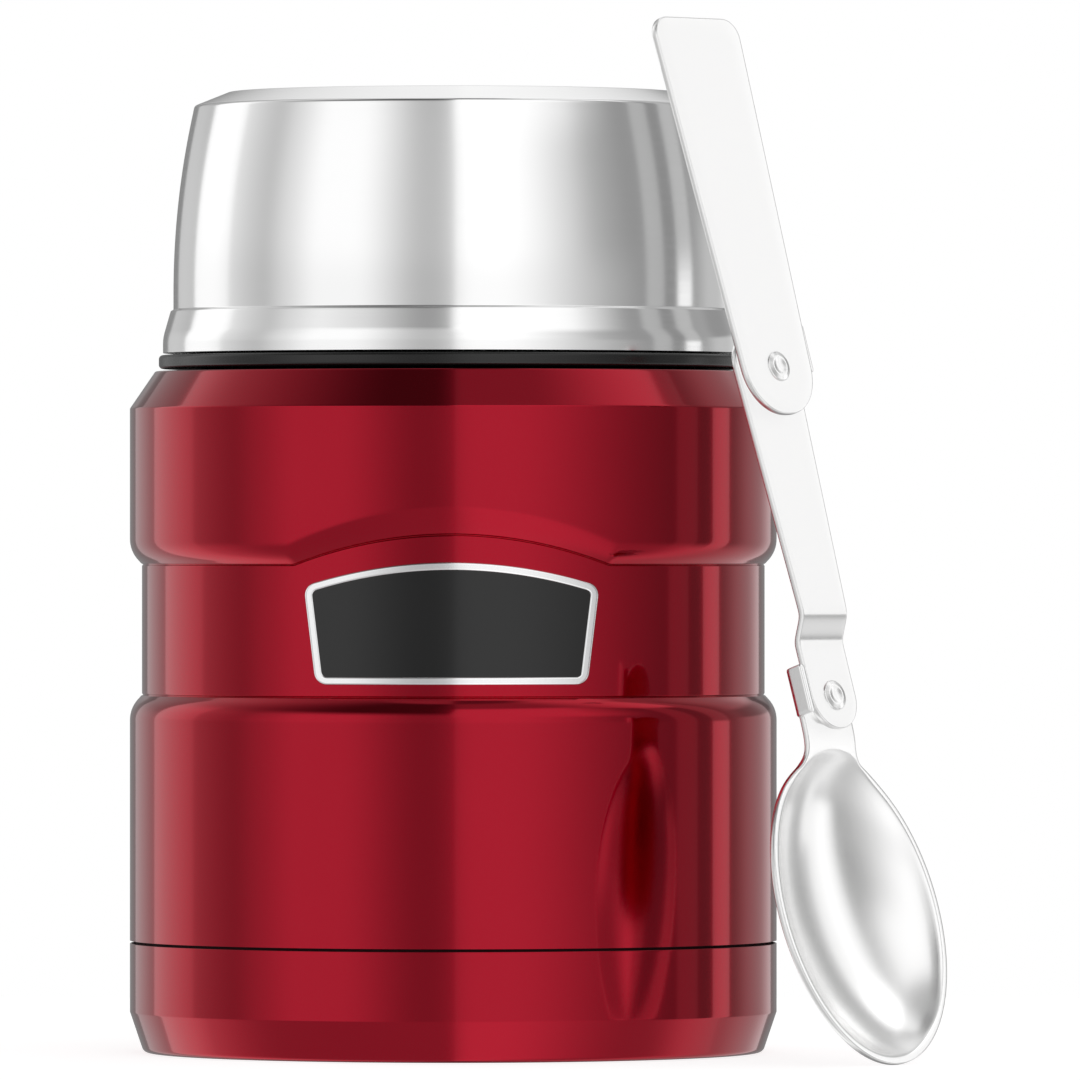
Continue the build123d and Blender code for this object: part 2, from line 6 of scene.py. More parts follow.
import bmesh
import bpy
import numpy as np
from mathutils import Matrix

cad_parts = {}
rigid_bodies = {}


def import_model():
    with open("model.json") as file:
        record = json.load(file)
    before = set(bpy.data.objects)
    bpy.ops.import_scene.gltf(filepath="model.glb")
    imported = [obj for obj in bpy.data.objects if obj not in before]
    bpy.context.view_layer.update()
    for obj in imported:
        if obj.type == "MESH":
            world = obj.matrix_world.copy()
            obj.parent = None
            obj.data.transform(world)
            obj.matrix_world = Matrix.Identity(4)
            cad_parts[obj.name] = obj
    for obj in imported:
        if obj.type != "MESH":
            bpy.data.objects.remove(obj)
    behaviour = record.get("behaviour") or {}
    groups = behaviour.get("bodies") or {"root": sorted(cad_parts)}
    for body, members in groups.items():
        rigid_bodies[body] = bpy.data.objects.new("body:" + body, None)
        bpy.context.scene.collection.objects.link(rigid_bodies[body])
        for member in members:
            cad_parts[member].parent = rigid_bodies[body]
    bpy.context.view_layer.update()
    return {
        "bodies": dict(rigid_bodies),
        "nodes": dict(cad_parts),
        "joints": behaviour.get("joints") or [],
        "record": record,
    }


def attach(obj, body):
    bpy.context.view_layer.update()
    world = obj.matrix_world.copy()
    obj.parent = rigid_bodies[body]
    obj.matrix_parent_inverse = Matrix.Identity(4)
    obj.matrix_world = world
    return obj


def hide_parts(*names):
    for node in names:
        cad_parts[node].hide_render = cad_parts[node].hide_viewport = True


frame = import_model()
nodes = frame["nodes"]
print("frame loaded:", len(nodes), "nodes")


# camera and light

cameraSettings = {
    "place": (0.0126, -2.05, 0.0744),
    "lens": 470.0,
    "sensor": 36.0,
    "clipEnd": 20.0,
}

# Softboxes round the table, by azimuth in degrees: 0 is towards the camera, + is to the right.
# Each one rises between its first two angles and fades between the next two, to its level.
sidePanels = {
    "leftBack": (-157.5, -156.3, -145, -125, 0.12),
    "leftRim": (-134.2, -133.0, -122, -78, 0.36),
    "leftRimEdge": (-134.2, -133.0, -107, -104.5, 0.20),
    "leftFront": (-86, -72, -42, -10, 0.20),
    "leftFrontGlow": (-76, -56, -42, -10, 0.28),
    "rightFront": (-8, 9, 18, 72, 0.28),
    "rightEdge": (0.2, 1.6, 18, 72, 0.26),
    "rightLine": (86, 88, 97, 98, 0.19),
    "rightRim": (112, 132, 156, 157.2, 0.27),
    "rightRimGlow": (140, 156, 156.5, 157.2, 0.22),
}
rightStrip = (105.6, 106.4, 116.2, 116.8, 0.80)
ceilingPanels = {
    "left": (-260, -220, -160, -38, 0.75),
    "middle": (-12, 7, 185, 190, 0.16),
    "middleEdge": (0.2, 3, 185, 190, 0.20),
    "right": (50, 106, 106.5, 112, 0.62),
    "rightBehind": (112, 150, 185, 190, 0.45),
    "leftFar": (-260, -220, -170, -160, 0.07),
    "rightFar": (160, 170, 185, 190, 0.07),
}
groundPanels = {
    "leftRim": (-200, -190, -118, -72, 0.48),
    "right": (-4, 8, 18, 76, 0.42),
    "rightEdge": (0.2, 1.6, 18, 76, 0.18),
    "rightRim": (80, 102, 103, 122, 0.22),
    "rightFar": (84, 102, 150, 170, 0.15),
}
# Zones rise and fade round the table as panels do. Their last number is how much they change.
zones = {
    "right": (-2, 2, 150, 165, 1.0),
    "greyBand": (-165, -157, -136, -132, 1.0),
    "glow": (-2, 4, 50, 85, 1.0),
    "front": (-140, -120, 30, 60, 0.09),
    "dip": (50, 64, 76, 88, 0.14),
    "ground": (-118, -100, 146, 156, 1.0),
}
# Single steps, first by azimuth and then by height: 0 is level, 1 straight up and -1 straight down.
turnSteps = {
    "fall": (58, 96),
    "backFall": (-157.5, -156.3),
    "back": (157, 165),         # on both sides
    "lift": (55, 105),
    "liftEdge": (106, 112),
    "dim": (118, 132),
    "zenith": (-2, 2),
}
heightSteps = {
    "strip": (0.0, 0.09),
    "front": (0.03, 0.12),
    "dim": (0.08, 0.14),
    "dimEnd": (0.30, 0.40),
    "greyBand": (0.08, 0.32),
    "glow": (0.30, 0.50),
    "below": (-0.10, -0.45),
    "zenith": (0.96, 0.985),
}
# Where the side's light gives way to the ceiling's: the height at which the change starts, what
# raises it, and how far the change spans.
ceilingLine = {
    "height": 0.42,
    "greyBand": 0.33,
    "lift": (0.35, 0.17),
    "liftEdge": 0.15,
    "span": 0.26,
    "backSpan": 0.49,
    "rightSpan": 0.16,
}
worldSettings = {
    "base": 0.46,
    "rightBase": 0.25,          # the base falls to this on the right
    "backFall": 0.21,           # and by this behind
    "ceiling": 0.10,
    "ground": 0.55,
    "zenith": (0.50, 0.20),     # straight up: on the left, on the right
    "stripFade": 0.3,           # share of the strip that is left over its foot
    "dim": 0.45,
    "grey": 0.28,
    "below": 0.17,
    "backdrop": 1.0,
}


class Value:
    # A socket that arithmetic can be written on: each operation adds a Math node.
    def __init__(self, shader, socket):
        self.shader = shader
        self.socket = socket

    def math(self, operation, first, second=0.0):
        return self.shader.add("ShaderNodeMath", {"operation": operation}, {0: first, 1: second})

    def __add__(self, other):
        return self.math("ADD", self, other)

    def __radd__(self, other):
        return self.math("ADD", other, self)

    def __sub__(self, other):
        return self.math("SUBTRACT", self, other)

    def __rsub__(self, other):
        return self.math("SUBTRACT", other, self)

    def __mul__(self, other):
        return self.math("MULTIPLY", self, other)

    def __rmul__(self, other):
        return self.math("MULTIPLY", other, self)

    def __pow__(self, other):
        return self.math("POWER", self, other)

    def __rpow__(self, other):
        return self.math("POWER", other, self)

    def __gt__(self, other):
        return self.math("GREATER_THAN", self, other)

    def __lt__(self, other):
        return self.math("LESS_THAN", self, other)


class Shader:
    # add() makes any node: its settings go in first, then the values or links of its sockets.
    def __init__(self, tree):
        self.tree = tree
        self.tree.nodes.clear()

    def add(self, kind, settings=None, inputs=None, output=0):
        made = self.tree.nodes.new(kind)
        for key, value in (settings or {}).items():
            setattr(made, key, value)
        for key, value in (inputs or {}).items():
            if isinstance(value, Value):
                self.tree.links.new(value.socket, made.inputs[key])
            else:
                made.inputs[key].default_value = value
        return Value(self, made.outputs[output])

    def finish(self, kind, surface):
        self.tree.links.new(surface.socket, self.tree.nodes.new(kind).inputs["Surface"])

    def other(self, value, output):
        # Another output of the node that a value comes from.
        return Value(self, value.socket.node.outputs[output])

    def ease(self, value, low, high, start=0.0, end=1.0):
        # A smooth step from start to end as the value goes from low to high.
        return self.add("ShaderNodeMapRange", {"interpolation_type": "SMOOTHSTEP"},
                        {"Value": value, "From Min": low, "From Max": high, "To Min": start, "To Max": end})

    def blend(self, share, first, second):
        return first + (second - first) * share

    def mixColour(self, share, first, second):
        return self.add("ShaderNodeMix", {"data_type": "RGBA"}, {0: share, 6: first, 7: second}, 2)

    def place(self, scale=(1000, 1000, 1000)):
        # Object coordinates in millimetres, stretched where a scale is smaller than 1000.
        spot = self.add("ShaderNodeTexCoord", output="Object")
        return self.add("ShaderNodeMapping", None, {"Vector": spot, "Scale": scale})

    def noise(self, size, stretch=(1, 1, 1), detail=2.0, rough=0.5):
        # Noise whose grain is about size millimetres, longer where stretch is small.
        spot = self.place([1000 * s / size for s in stretch])
        return self.add("ShaderNodeTexNoise", None,
                        {"Vector": spot, "Scale": 1.0, "Detail": detail, "Roughness": rough})

    def bump(self, height, strength, distance):
        return self.add("ShaderNodeBump", None,
                        {"Height": height, "Strength": strength, "Distance": distance * 0.001})


def makeCamera(settings):
    data = bpy.data.cameras.new("camera")
    data.lens = settings["lens"]
    data.sensor_width = settings["sensor"]
    data.clip_end = settings["clipEnd"]
    camera = bpy.data.objects.new("camera", data)
    camera.location = settings["place"]
    camera.rotation_euler = (math.radians(90), 0, 0)
    bpy.context.scene.collection.objects.link(camera)
    bpy.context.scene.camera = camera


def panelLight(shader, azimuth, base, panels):
    # The light of one height of the studio: a base, and each panel's smooth rise and fall.
    light = base
    for panel in panels.values():
        light = light + onePanel(shader, azimuth, panel)
    return light


def onePanel(shader, azimuth, panel):
    start, full, ease, end, level = panel
    return shader.ease(azimuth, start, full) * shader.ease(azimuth, ease, end, level, 0.0)


def azimuthOf(x, y):
    # 0 where y is negative and x is 0, and growing with x.
    return x.math("ARCTAN2", x, y * -1) * math.degrees(1)


def makeWorld(settings):
    # White to the camera. Everything else sees a studio of soft panels that stand round the table,
    # with a ceiling and a ground whose light depends on the azimuth too.
    world = bpy.data.worlds.new("studio")
    world.use_nodes = True
    bpy.context.scene.world = world
    shader = Shader(world.node_tree)
    direction = shader.add("ShaderNodeTexCoord", output="Generated")
    x = shader.add("ShaderNodeSeparateXYZ", None, {"Vector": direction}, "X")
    y = shader.other(x, "Y")
    z = shader.other(x, "Z")
    azimuth = azimuthOf(x, y)
    around = azimuth.math("ABSOLUTE", azimuth)

    def turnStep(name, low=0.0, high=1.0):
        return shader.ease(azimuth, *turnSteps[name], low, high)

    def heightStep(name, low=0.0, high=1.0):
        return shader.ease(z, *heightSteps[name], low, high)

    def zone(name):
        return onePanel(shader, azimuth, zones[name])

    base = settings["base"] - turnStep("fall", 0.0, settings["base"] - settings["rightBase"])
    base = base - turnStep("backFall", settings["backFall"], 0.0)
    light = panelLight(shader, azimuth, base, sidePanels)
    light = light.math("MINIMUM", light, 1.0)
    strip = onePanel(shader, azimuth, rightStrip) * heightStep("strip", 1.0, settings["stripFade"])
    light = light.math("MINIMUM", light + strip, 1.0)
    ceiling = panelLight(shader, azimuth, settings["ceiling"], ceilingPanels)
    ground = panelLight(shader, azimuth, settings["ground"], groundPanels)
    # The ceiling starts higher on the right and in the grey band behind on the left, and from the
    # table up straight behind.
    line = ceilingLine
    right = zone("right")
    greyBand = zone("greyBand")
    back = shader.ease(around, *turnSteps["back"])
    lift = turnStep("lift", *line["lift"]) + turnStep("liftEdge", 0.0, line["liftEdge"])
    height = line["height"] - back * line["height"] + greyBand * line["greyBand"] + right * lift
    top = height + back * line["backSpan"] + line["span"] - right * line["rightSpan"]
    upper = shader.ease(z, height, top)
    light = shader.blend(heightStep("glow") * zone("glow"), light, 1.0)
    # A little more light just over the table's height in front, and less on the right, in the grey
    # band, and on the right behind, where the spoon's dish looks.
    dim = heightStep("dim") * heightStep("dimEnd", 1.0, 0.0) * turnStep("dim")
    grey = greyBand * heightStep("greyBand")
    level = 1 + heightStep("front") * zone("front") - heightStep("front") * zone("dip")
    light = light * (level - dim * settings["dim"] - grey * settings["grey"])
    below = heightStep("below")
    light = light * (1 + below * settings["below"])
    zenith = turnStep("zenith", *settings["zenith"])
    light = shader.blend(upper, light, ceiling)
    light = shader.blend(below * zone("ground"), light, ground)
    light = shader.blend(heightStep("zenith"), light, zenith)
    studio = shader.add("ShaderNodeBackground", None, {"Color": (1, 1, 1, 1), "Strength": light})
    white = shader.add("ShaderNodeBackground", None,
                       {"Color": (1, 1, 1, 1), "Strength": settings["backdrop"]})
    seen = shader.add("ShaderNodeLightPath", output="Is Camera Ray")
    mixed = shader.add("ShaderNodeMixShader", None, {0: seen, 1: studio, 2: white})
    shader.finish("ShaderNodeOutputWorld", mixed)


floorSettings = {"size": 0.24, "grid": 8, "glow": 0.80, "grain": 3.0, "tones": (0.42, 0.46)}


def makeFloor(settings):
    # A square sheet at z = 0: x and y run evenly from -size to size.
    line = np.linspace(-settings["size"], settings["size"], settings["grid"])
    x, y = np.meshgrid(line, line, indexing="ij")
    points = np.stack([x, y, np.zeros_like(x)], axis=-1).reshape(-1, 3)
    faces = gridFaces(settings["grid"], settings["grid"], False, False)
    mesh = bpy.data.meshes.new("floor")
    mesh.from_pydata(points.tolist(), [], faces.tolist())
    floor = bpy.data.objects.new("floor", mesh)
    bpy.context.scene.collection.objects.link(floor)
    material = bpy.data.materials.new("paperFloor")
    material.use_nodes = True
    shader = Shader(material.node_tree)
    dark, pale = [(tone, tone, tone, 1) for tone in settings["tones"]]
    tone = shader.mixColour(shader.noise(settings["grain"]), dark, pale)
    matt = shader.add("ShaderNodeBsdfDiffuse", None, {"Color": tone})
    glow = shader.add("ShaderNodeEmission", None, {"Color": (1, 1, 1, 1), "Strength": settings["glow"]})
    camera = shader.add("ShaderNodeLightPath", output="Is Camera Ray")
    seen = shader.add("ShaderNodeAddShader", None, {0: matt, 1: glow})
    mixed = shader.add("ShaderNodeMixShader", None, {0: camera, 1: matt, 2: seen})
    shader.finish("ShaderNodeOutputMaterial", mixed)
    floor.visible_glossy = False
    mesh.materials.append(material)


# surfaces

meshSettings = {
    "merge": 2e-6,              # points closer than this, in metres, become one
    "degenerate": 1e-7,
    "sharp": 35.0,              # edges that turn by more than this, in degrees, stay sharp
}


def gridFaces(rows, columns, wrapRows, wrapColumns, first=0):
    # Quads between neighbours of a grid whose points are numbered row by row.
    r = np.arange(rows if wrapRows else rows - 1)
    c = np.arange(columns if wrapColumns else columns - 1)
    r, c = np.meshgrid(r, c, indexing="ij")
    nextRow = (r + 1) % rows
    nextColumn = (c + 1) % columns
    corners = [r * columns + c, r * columns + nextColumn,
               nextRow * columns + nextColumn, nextRow * columns + c]
    return np.stack(corners, axis=-1).reshape(-1, 4) + first


def makePiece(name, grids, body, finish, replaces=()):
    # Joins grids of points (rows, columns, xyz) into one mesh. Each grid says whether its rows and
    # columns close on themselves and whether its first and last rows get end faces. A mesh whose
    # volume comes out negative is inside out, so it is turned round.
    points = []
    faces = []
    first = 0
    for grid, wrapRows, wrapColumns, ends in grids:
        rows, columns = grid.shape[:2]
        points.append(grid.reshape(-1, 3))
        faces += gridFaces(rows, columns, wrapRows, wrapColumns, first).tolist()
        if ends:
            faces.append(list(range(first, first + columns)))
            faces.append(list(range(first + (rows - 1) * columns, first + rows * columns)))
        first += rows * columns
    mesh = bpy.data.meshes.new(name)
    mesh.from_pydata((np.concatenate(points) * 0.001).tolist(), [], faces)
    work = bmesh.new()
    work.from_mesh(mesh)
    bmesh.ops.remove_doubles(work, verts=work.verts, dist=meshSettings["merge"])
    bmesh.ops.dissolve_degenerate(work, edges=work.edges, dist=meshSettings["degenerate"])
    bmesh.ops.recalc_face_normals(work, faces=work.faces)
    if work.calc_volume(signed=True) < 0:
        bmesh.ops.reverse_faces(work, faces=work.faces)
    work.to_mesh(mesh)
    work.free()
    mesh.shade_smooth()
    mesh.set_sharp_from_angle(angle=math.radians(meshSettings["sharp"]))
    mesh.materials.append(finish)
    piece = bpy.data.objects.new(name, mesh)
    bpy.context.scene.collection.objects.link(piece)
    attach(piece, body)
    if replaces:
        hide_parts(*replaces)
    print("piece", name, len(mesh.polygons), "faces")
    return piece


def unit(vector):
    return vector / np.linalg.norm(vector, axis=-1, keepdims=True)


def roundedPath(corners, closed=False, arcStep=6.0, arcLength=1.2, support=0.25):
    # A path of straight runs and arcs through (r, z, radius) corners. An arc leaves its runs at
    # radius * tan(turn / 2) from the corner, and its points are at most arcStep degrees and arcLength
    # apart. A further point beside each arc keeps the runs' shading flat.
    spots = np.array([corner[:2] for corner in corners], dtype=float)
    radii = np.array([corner[2] for corner in corners], dtype=float)
    ahead = np.roll(spots, -1, axis=0) - spots
    room = np.linalg.norm(ahead, axis=1)
    ahead = ahead / room[:, None]
    back = -np.roll(ahead, 1, axis=0)
    turn = np.pi - np.arccos(np.clip(np.sum(ahead * back, axis=1), -1, 1))
    if not closed:
        turn[[0, -1]] = 0
    cut = radii * np.tan(turn / 2)
    spare = np.minimum(support, 0.3 * (room - cut - np.roll(cut, -1)))
    runs = []
    for i, corner in enumerate(spots):
        if not closed and i in (0, len(spots) - 1):
            runs.append(corner[None])
            continue
        start, end = corner + back[i] * cut[i], corner + ahead[i] * cut[i]
        before, after = start + back[i] * spare[i - 1], end + ahead[i] * spare[i]
        if cut[i] < 1e-6:
            runs.append(np.array([before, corner, after]))
            continue
        centre = corner + unit(back[i] + ahead[i]) * radii[i] / math.cos(turn[i] / 2)
        steps = max(2, math.ceil(math.degrees(turn[i]) / arcStep),
                    math.ceil(radii[i] * turn[i] / arcLength))
        share = np.linspace(0, 1, steps + 1)[:, None]
        arc = np.sin((1 - share) * turn[i]) * (start - centre) + np.sin(share * turn[i]) * (end - centre)
        runs.append(np.vstack([before, centre + arc / math.sin(turn[i]), after]))
    return np.vstack(runs)


def offsetPath(path, distance, closed=False):
    # The same path moved sideways, to the left of its direction, by mitred corners.
    step = np.roll(path, -1, axis=0) - path
    if not closed:
        step[-1] = step[-2]
    step = unit(step)
    before = np.roll(step, 1, axis=0)
    if not closed:
        before[0] = step[0]
    left = np.stack([-step[:, 1], step[:, 0]], axis=-1)
    middle = unit(left + np.stack([-before[:, 1], before[:, 0]], axis=-1))
    reach = distance / np.maximum(np.sum(middle * left, axis=1), 0.3)
    return path + middle * reach[:, None]


def walled(path, wall):
    # A sheet's section: the path, and the same path moved in by the wall, as one loop. Points that
    # would run backwards inside a tight bend are left out.
    inner = offsetPath(path, wall)
    forward = np.sum(np.diff(inner, axis=0) * np.diff(path, axis=0), axis=1) > 0
    keep = np.concatenate([[True], forward[:-1] & forward[1:], [True]])
    return np.vstack([path, inner[keep][::-1]])


def evenly(path, step):
    # The path again, with points an even step apart.
    lengths = np.concatenate([[0], np.cumsum(np.linalg.norm(np.diff(path, axis=0), axis=1))])
    wanted = np.linspace(0, lengths[-1], max(3, math.ceil(lengths[-1] / step) + 1))
    return np.stack([np.interp(wanted, lengths, path[:, k]) for k in range(2)], axis=-1)


def round360(columns):
    return np.linspace(0, 2 * np.pi, columns, endpoint=False)


def turned(path, columns=288, closed=True, place=None):
    # Each (r, z) point of the path goes round the axis: (r cos a, r sin a, z).
    angle = round360(columns)[None, :]
    r, z = path[:, 0, None], path[:, 1, None]
    grid = np.stack([r * np.cos(angle), r * np.sin(angle), z + 0 * angle], axis=-1)
    return (grid if place is None else place(grid)), closed, True, False


def softMin(a, b, blend):
    # The lower of two heights, with the edge between them rounded off.
    return -blend * np.logaddexp(-a / blend, -b / blend)


def softRamp(value, blend):
    # Rises from 0 to 1 with rounded ends as the value goes from 0 to 1.
    return blend * (np.logaddexp(0, value / blend) - np.logaddexp(0, (value - 1) / blend))


def threadRidges(settings):
    # Ridges of a screw thread. Along the ridge the angle a grows and z rises by lead * a / 360.
    # Across it the section is a low trapezium with rounded corners, which shrinks to nothing at
    # both ends of the ridge.
    s = settings
    section = evenly(roundedPath([(-s["foot"] / 2, -0.15, 0), (-s["crest"] / 2, s["height"], 0.25),
                                  (s["crest"] / 2, s["height"], 0.25), (s["foot"] / 2, -0.15, 0)]), 0.2)
    share = np.linspace(0, 1, s["steps"])
    angle = np.radians(s["from"]) + share * np.radians(s["sweep"])
    taper = np.clip(np.minimum(share, 1 - share) * s["sweep"] / s["runOut"], 0.02, 1) ** 0.7
    grids = []
    for start in range(s["starts"]):
        turn = angle + start * 2 * np.pi / s["starts"]
        out = s["radius"] + s["side"] * (section[None, :, 1] * taper[:, None])
        climb = s["lead"] * share[:, None] * s["sweep"] / 360
        z = s["z"] + climb + section[None, :, 0] * taper[:, None] ** 0.3
        grid = np.stack([out * np.cos(turn)[:, None], out * np.sin(turn)[:, None], z], axis=-1)
        grids.append((grid, False, True, True))
    return grids


# finishes

def makeFinish(name, paint):
    material = bpy.data.materials.new(name)
    material.use_nodes = True
    shader = Shader(material.node_tree)
    surface = shader.add("ShaderNodeBsdfPrincipled", None, paint(shader))
    shader.finish("ShaderNodeOutputMaterial", surface)
    return material


coatPlaces = {"bareAbove": 98.3, "bareWithin": 42.6, "seamFrom": 15.6, "seamTo": 16.6, "seamWithin": 46.8}


def paintCoat(shader):
    # Red metallic lacquer on steel. Inside the shoulder's top edge the steel is bare.
    s = coatPlaces
    flakes = shader.noise(0.35, detail=1.0)
    cloud = shader.noise(22.0)
    red = shader.mixColour(cloud, (0.365, 0.0008, 0.0150, 1), (0.385, 0.0018, 0.0170, 1))
    red = shader.mixColour(flakes * 0.25, red, (0.410, 0.0060, 0.0200, 1))
    x = shader.add("ShaderNodeSeparateXYZ", None, {"Vector": shader.place()}, "X")
    y = shader.other(x, "Y")
    radius = (x * x + y * y) ** 0.5
    z = shader.other(x, "Z")
    bare = (z > s["bareAbove"]) * (radius < s["bareWithin"])
    # Painted shade: the bottom of the seam over the cup is coloured a dull, dark, non-metallic tone to
    # stand in for the shade that falls in its groove.
    seamShade = (z > s["seamFrom"]) * (z < s["seamTo"]) * (radius < s["seamWithin"])
    colour = shader.mixColour(bare, red, (0.62, 0.62, 0.62, 1))
    # the painted shade in the seam's groove
    colour = shader.mixColour(seamShade, colour, (0.030, 0.003, 0.005, 1))
    streaks = shader.noise(0.5, (0.05, 0.05, 1))
    return {
        "Base Color": colour,
        "Metallic": 1 - seamShade,
        "Roughness": 0.09 + flakes * 0.05 + bare * streaks * 0.3 + seamShade * 0.8,
        "Coat Weight": (1 - bare) * (1 - seamShade),
        "Coat Roughness": 0.02,
        "Coat IOR": 1.24,
        "Normal": shader.bump(shader.noise(1.6, detail=1.0), 0.15, 0.004),
    }


def paintPolished(shader):
    # Polished steel with faint turning marks that run round the axis.
    marks = shader.noise(0.35, (0.02, 0.02, 1), 3.0)
    cloud = shader.noise(30.0)
    return {
        "Base Color": shader.mixColour(cloud, (0.96, 0.96, 0.96, 1), (0.98, 0.98, 0.98, 1)),
        "Metallic": 1.0,
        "Roughness": 0.09 + marks * 0.08,
        "Normal": shader.bump(marks, 0.08, 0.004),
    }


def paintSpoon(shader):
    # Tumbled steel: fine marks in every direction.
    marks = shader.noise(0.6, detail=4.0, rough=0.7)
    return {
        "Base Color": shader.mixColour(marks, (0.93, 0.93, 0.93, 1), (0.98, 0.975, 0.97, 1)),
        "Metallic": 1.0,
        "Roughness": 0.19 + marks * 0.08,
        "Normal": shader.bump(marks, 0.06, 0.006),
    }


def paintPlain(shader):
    # Satin drawn steel, with marks round the axis.
    marks = shader.noise(0.45, (0.03, 0.03, 1), 4.0)
    cloud = shader.noise(18.0)
    return {
        "Base Color": shader.mixColour(cloud, (0.60, 0.60, 0.60, 1), (0.68, 0.675, 0.67, 1)),
        "Metallic": 1.0,
        "Roughness": 0.24 + marks * 0.18,
        "Normal": shader.bump(marks, 0.2, 0.01),
    }


def paintPlastic(shader):
    # Black moulding with a fine matt texture.
    grain = shader.noise(0.25, detail=3.0)
    cloud = shader.noise(12.0)
    return {
        "Base Color": shader.mixColour(cloud, (0.002, 0.002, 0.002, 1), (0.005, 0.005, 0.0048, 1)),
        "Roughness": 0.20 + grain * 0.12,
        "Normal": shader.bump(grain, 0.25, 0.012),
    }


def paintSilicone(shader):
    grain = shader.noise(1.5)
    return {
        "Base Color": shader.mixColour(grain, (0.42, 0.42, 0.42, 1), (0.50, 0.50, 0.495, 1)),
        "Roughness": 0.45 + grain * 0.15,
        "Subsurface Weight": 0.15,
        "Subsurface Radius": (0.002, 0.002, 0.002),
        "Normal": shader.bump(grain, 0.1, 0.02),
    }


def paintBorder(shader):
    marks = shader.noise(0.4, detail=3.0)
    return {
        "Base Color": shader.mixColour(marks, (0.90, 0.90, 0.91, 1), (0.96, 0.96, 0.96, 1)),
        "Metallic": 1.0,
        "Roughness": 0.10 + marks * 0.06,
        "Normal": shader.bump(marks, 0.05, 0.004),
    }


def paintField(shader):
    # The badge's bare face: nearly black under a smooth lacquer.
    grain = shader.noise(0.3, detail=2.0)
    cloud = shader.noise(9.0)
    return {
        "Base Color": shader.mixColour(cloud, (0.0035, 0.0035, 0.0036, 1), (0.0055, 0.0055, 0.0056, 1)),
        "Roughness": 0.10 + grain * 0.06,
        "Normal": shader.bump(grain, 0.06, 0.004),
    }


def paintFoil(shader):
    creases = shader.add("ShaderNodeTexVoronoi", {"feature": "DISTANCE_TO_EDGE"},
                         {"Vector": shader.place(), "Scale": 0.16})
    return {
        "Base Color": shader.mixColour(creases, (0.80, 0.80, 0.81, 1), (0.93, 0.93, 0.93, 1)),
        "Metallic": 1.0,
        "Roughness": 0.18 + creases * 0.1,
        "Normal": shader.bump(creases, 0.6, 0.3),
    }


def paintSolder(shader):
    lumps = shader.noise(1.8, detail=3.0)
    return {
        "Base Color": shader.mixColour(lumps, (0.30, 0.30, 0.31, 1), (0.50, 0.49, 0.48, 1)),
        "Metallic": 1.0,
        "Roughness": 0.40 + lumps * 0.2,
        "Normal": shader.bump(lumps, 0.5, 0.15),
    }


def paintFoam(shader):
    cells = shader.add("ShaderNodeTexVoronoi", None, {"Vector": shader.place(), "Scale": 1.4})
    return {
        "Base Color": shader.mixColour(cells, (0.86, 0.85, 0.82, 1), (0.66, 0.65, 0.62, 1)),
        "Roughness": 0.85 + cells * 0.1,
        "Normal": shader.bump(cells, 0.6, 0.2),
    }


makeCamera(cameraSettings)
makeWorld(worldSettings)
makeFloor(floorSettings)

redCoat = makeFinish("redCoat", paintCoat)
polishedSteel = makeFinish("polishedSteel", paintPolished)
spoonSteel = makeFinish("spoonSteel", paintSpoon)
plainSteel = makeFinish("plainSteel", paintPlain)
blackPlastic = makeFinish("blackPlastic", paintPlastic)
silicone = makeFinish("silicone", paintSilicone)
badgeSilver = makeFinish("badgeSilver", paintBorder)
badgeBlack = makeFinish("badgeBlack", paintField)
foil = makeFinish("foil", paintFoil)
solder = makeFinish("solder", paintSolder)
foam = makeFinish("foam", paintFoam)
print("studio and finishes made")


# the jar's steel shell

shell = {
    "radius": 47.0, "bottom": 16.25, "wall": 0.8,
    "waistRadius": 45.25, "waistBottom": 51.9, "waistTop": 70.9, "ledge": 1.9,
    "bandRounding": 4.4, "crease": 0.17,
    "shoulderBottom": 93.5, "shoulderTop": 98.9, "shoulderRadius": 43.3, "shoulderRounding": 0.45,
    "neckRadius": 35.3, "neckTop": 113.2,
    "archRise": 4.3, "archHalf": 22.5, "archLedge": 2.9,
    "columns": 416, "crowding": 0.35,
}


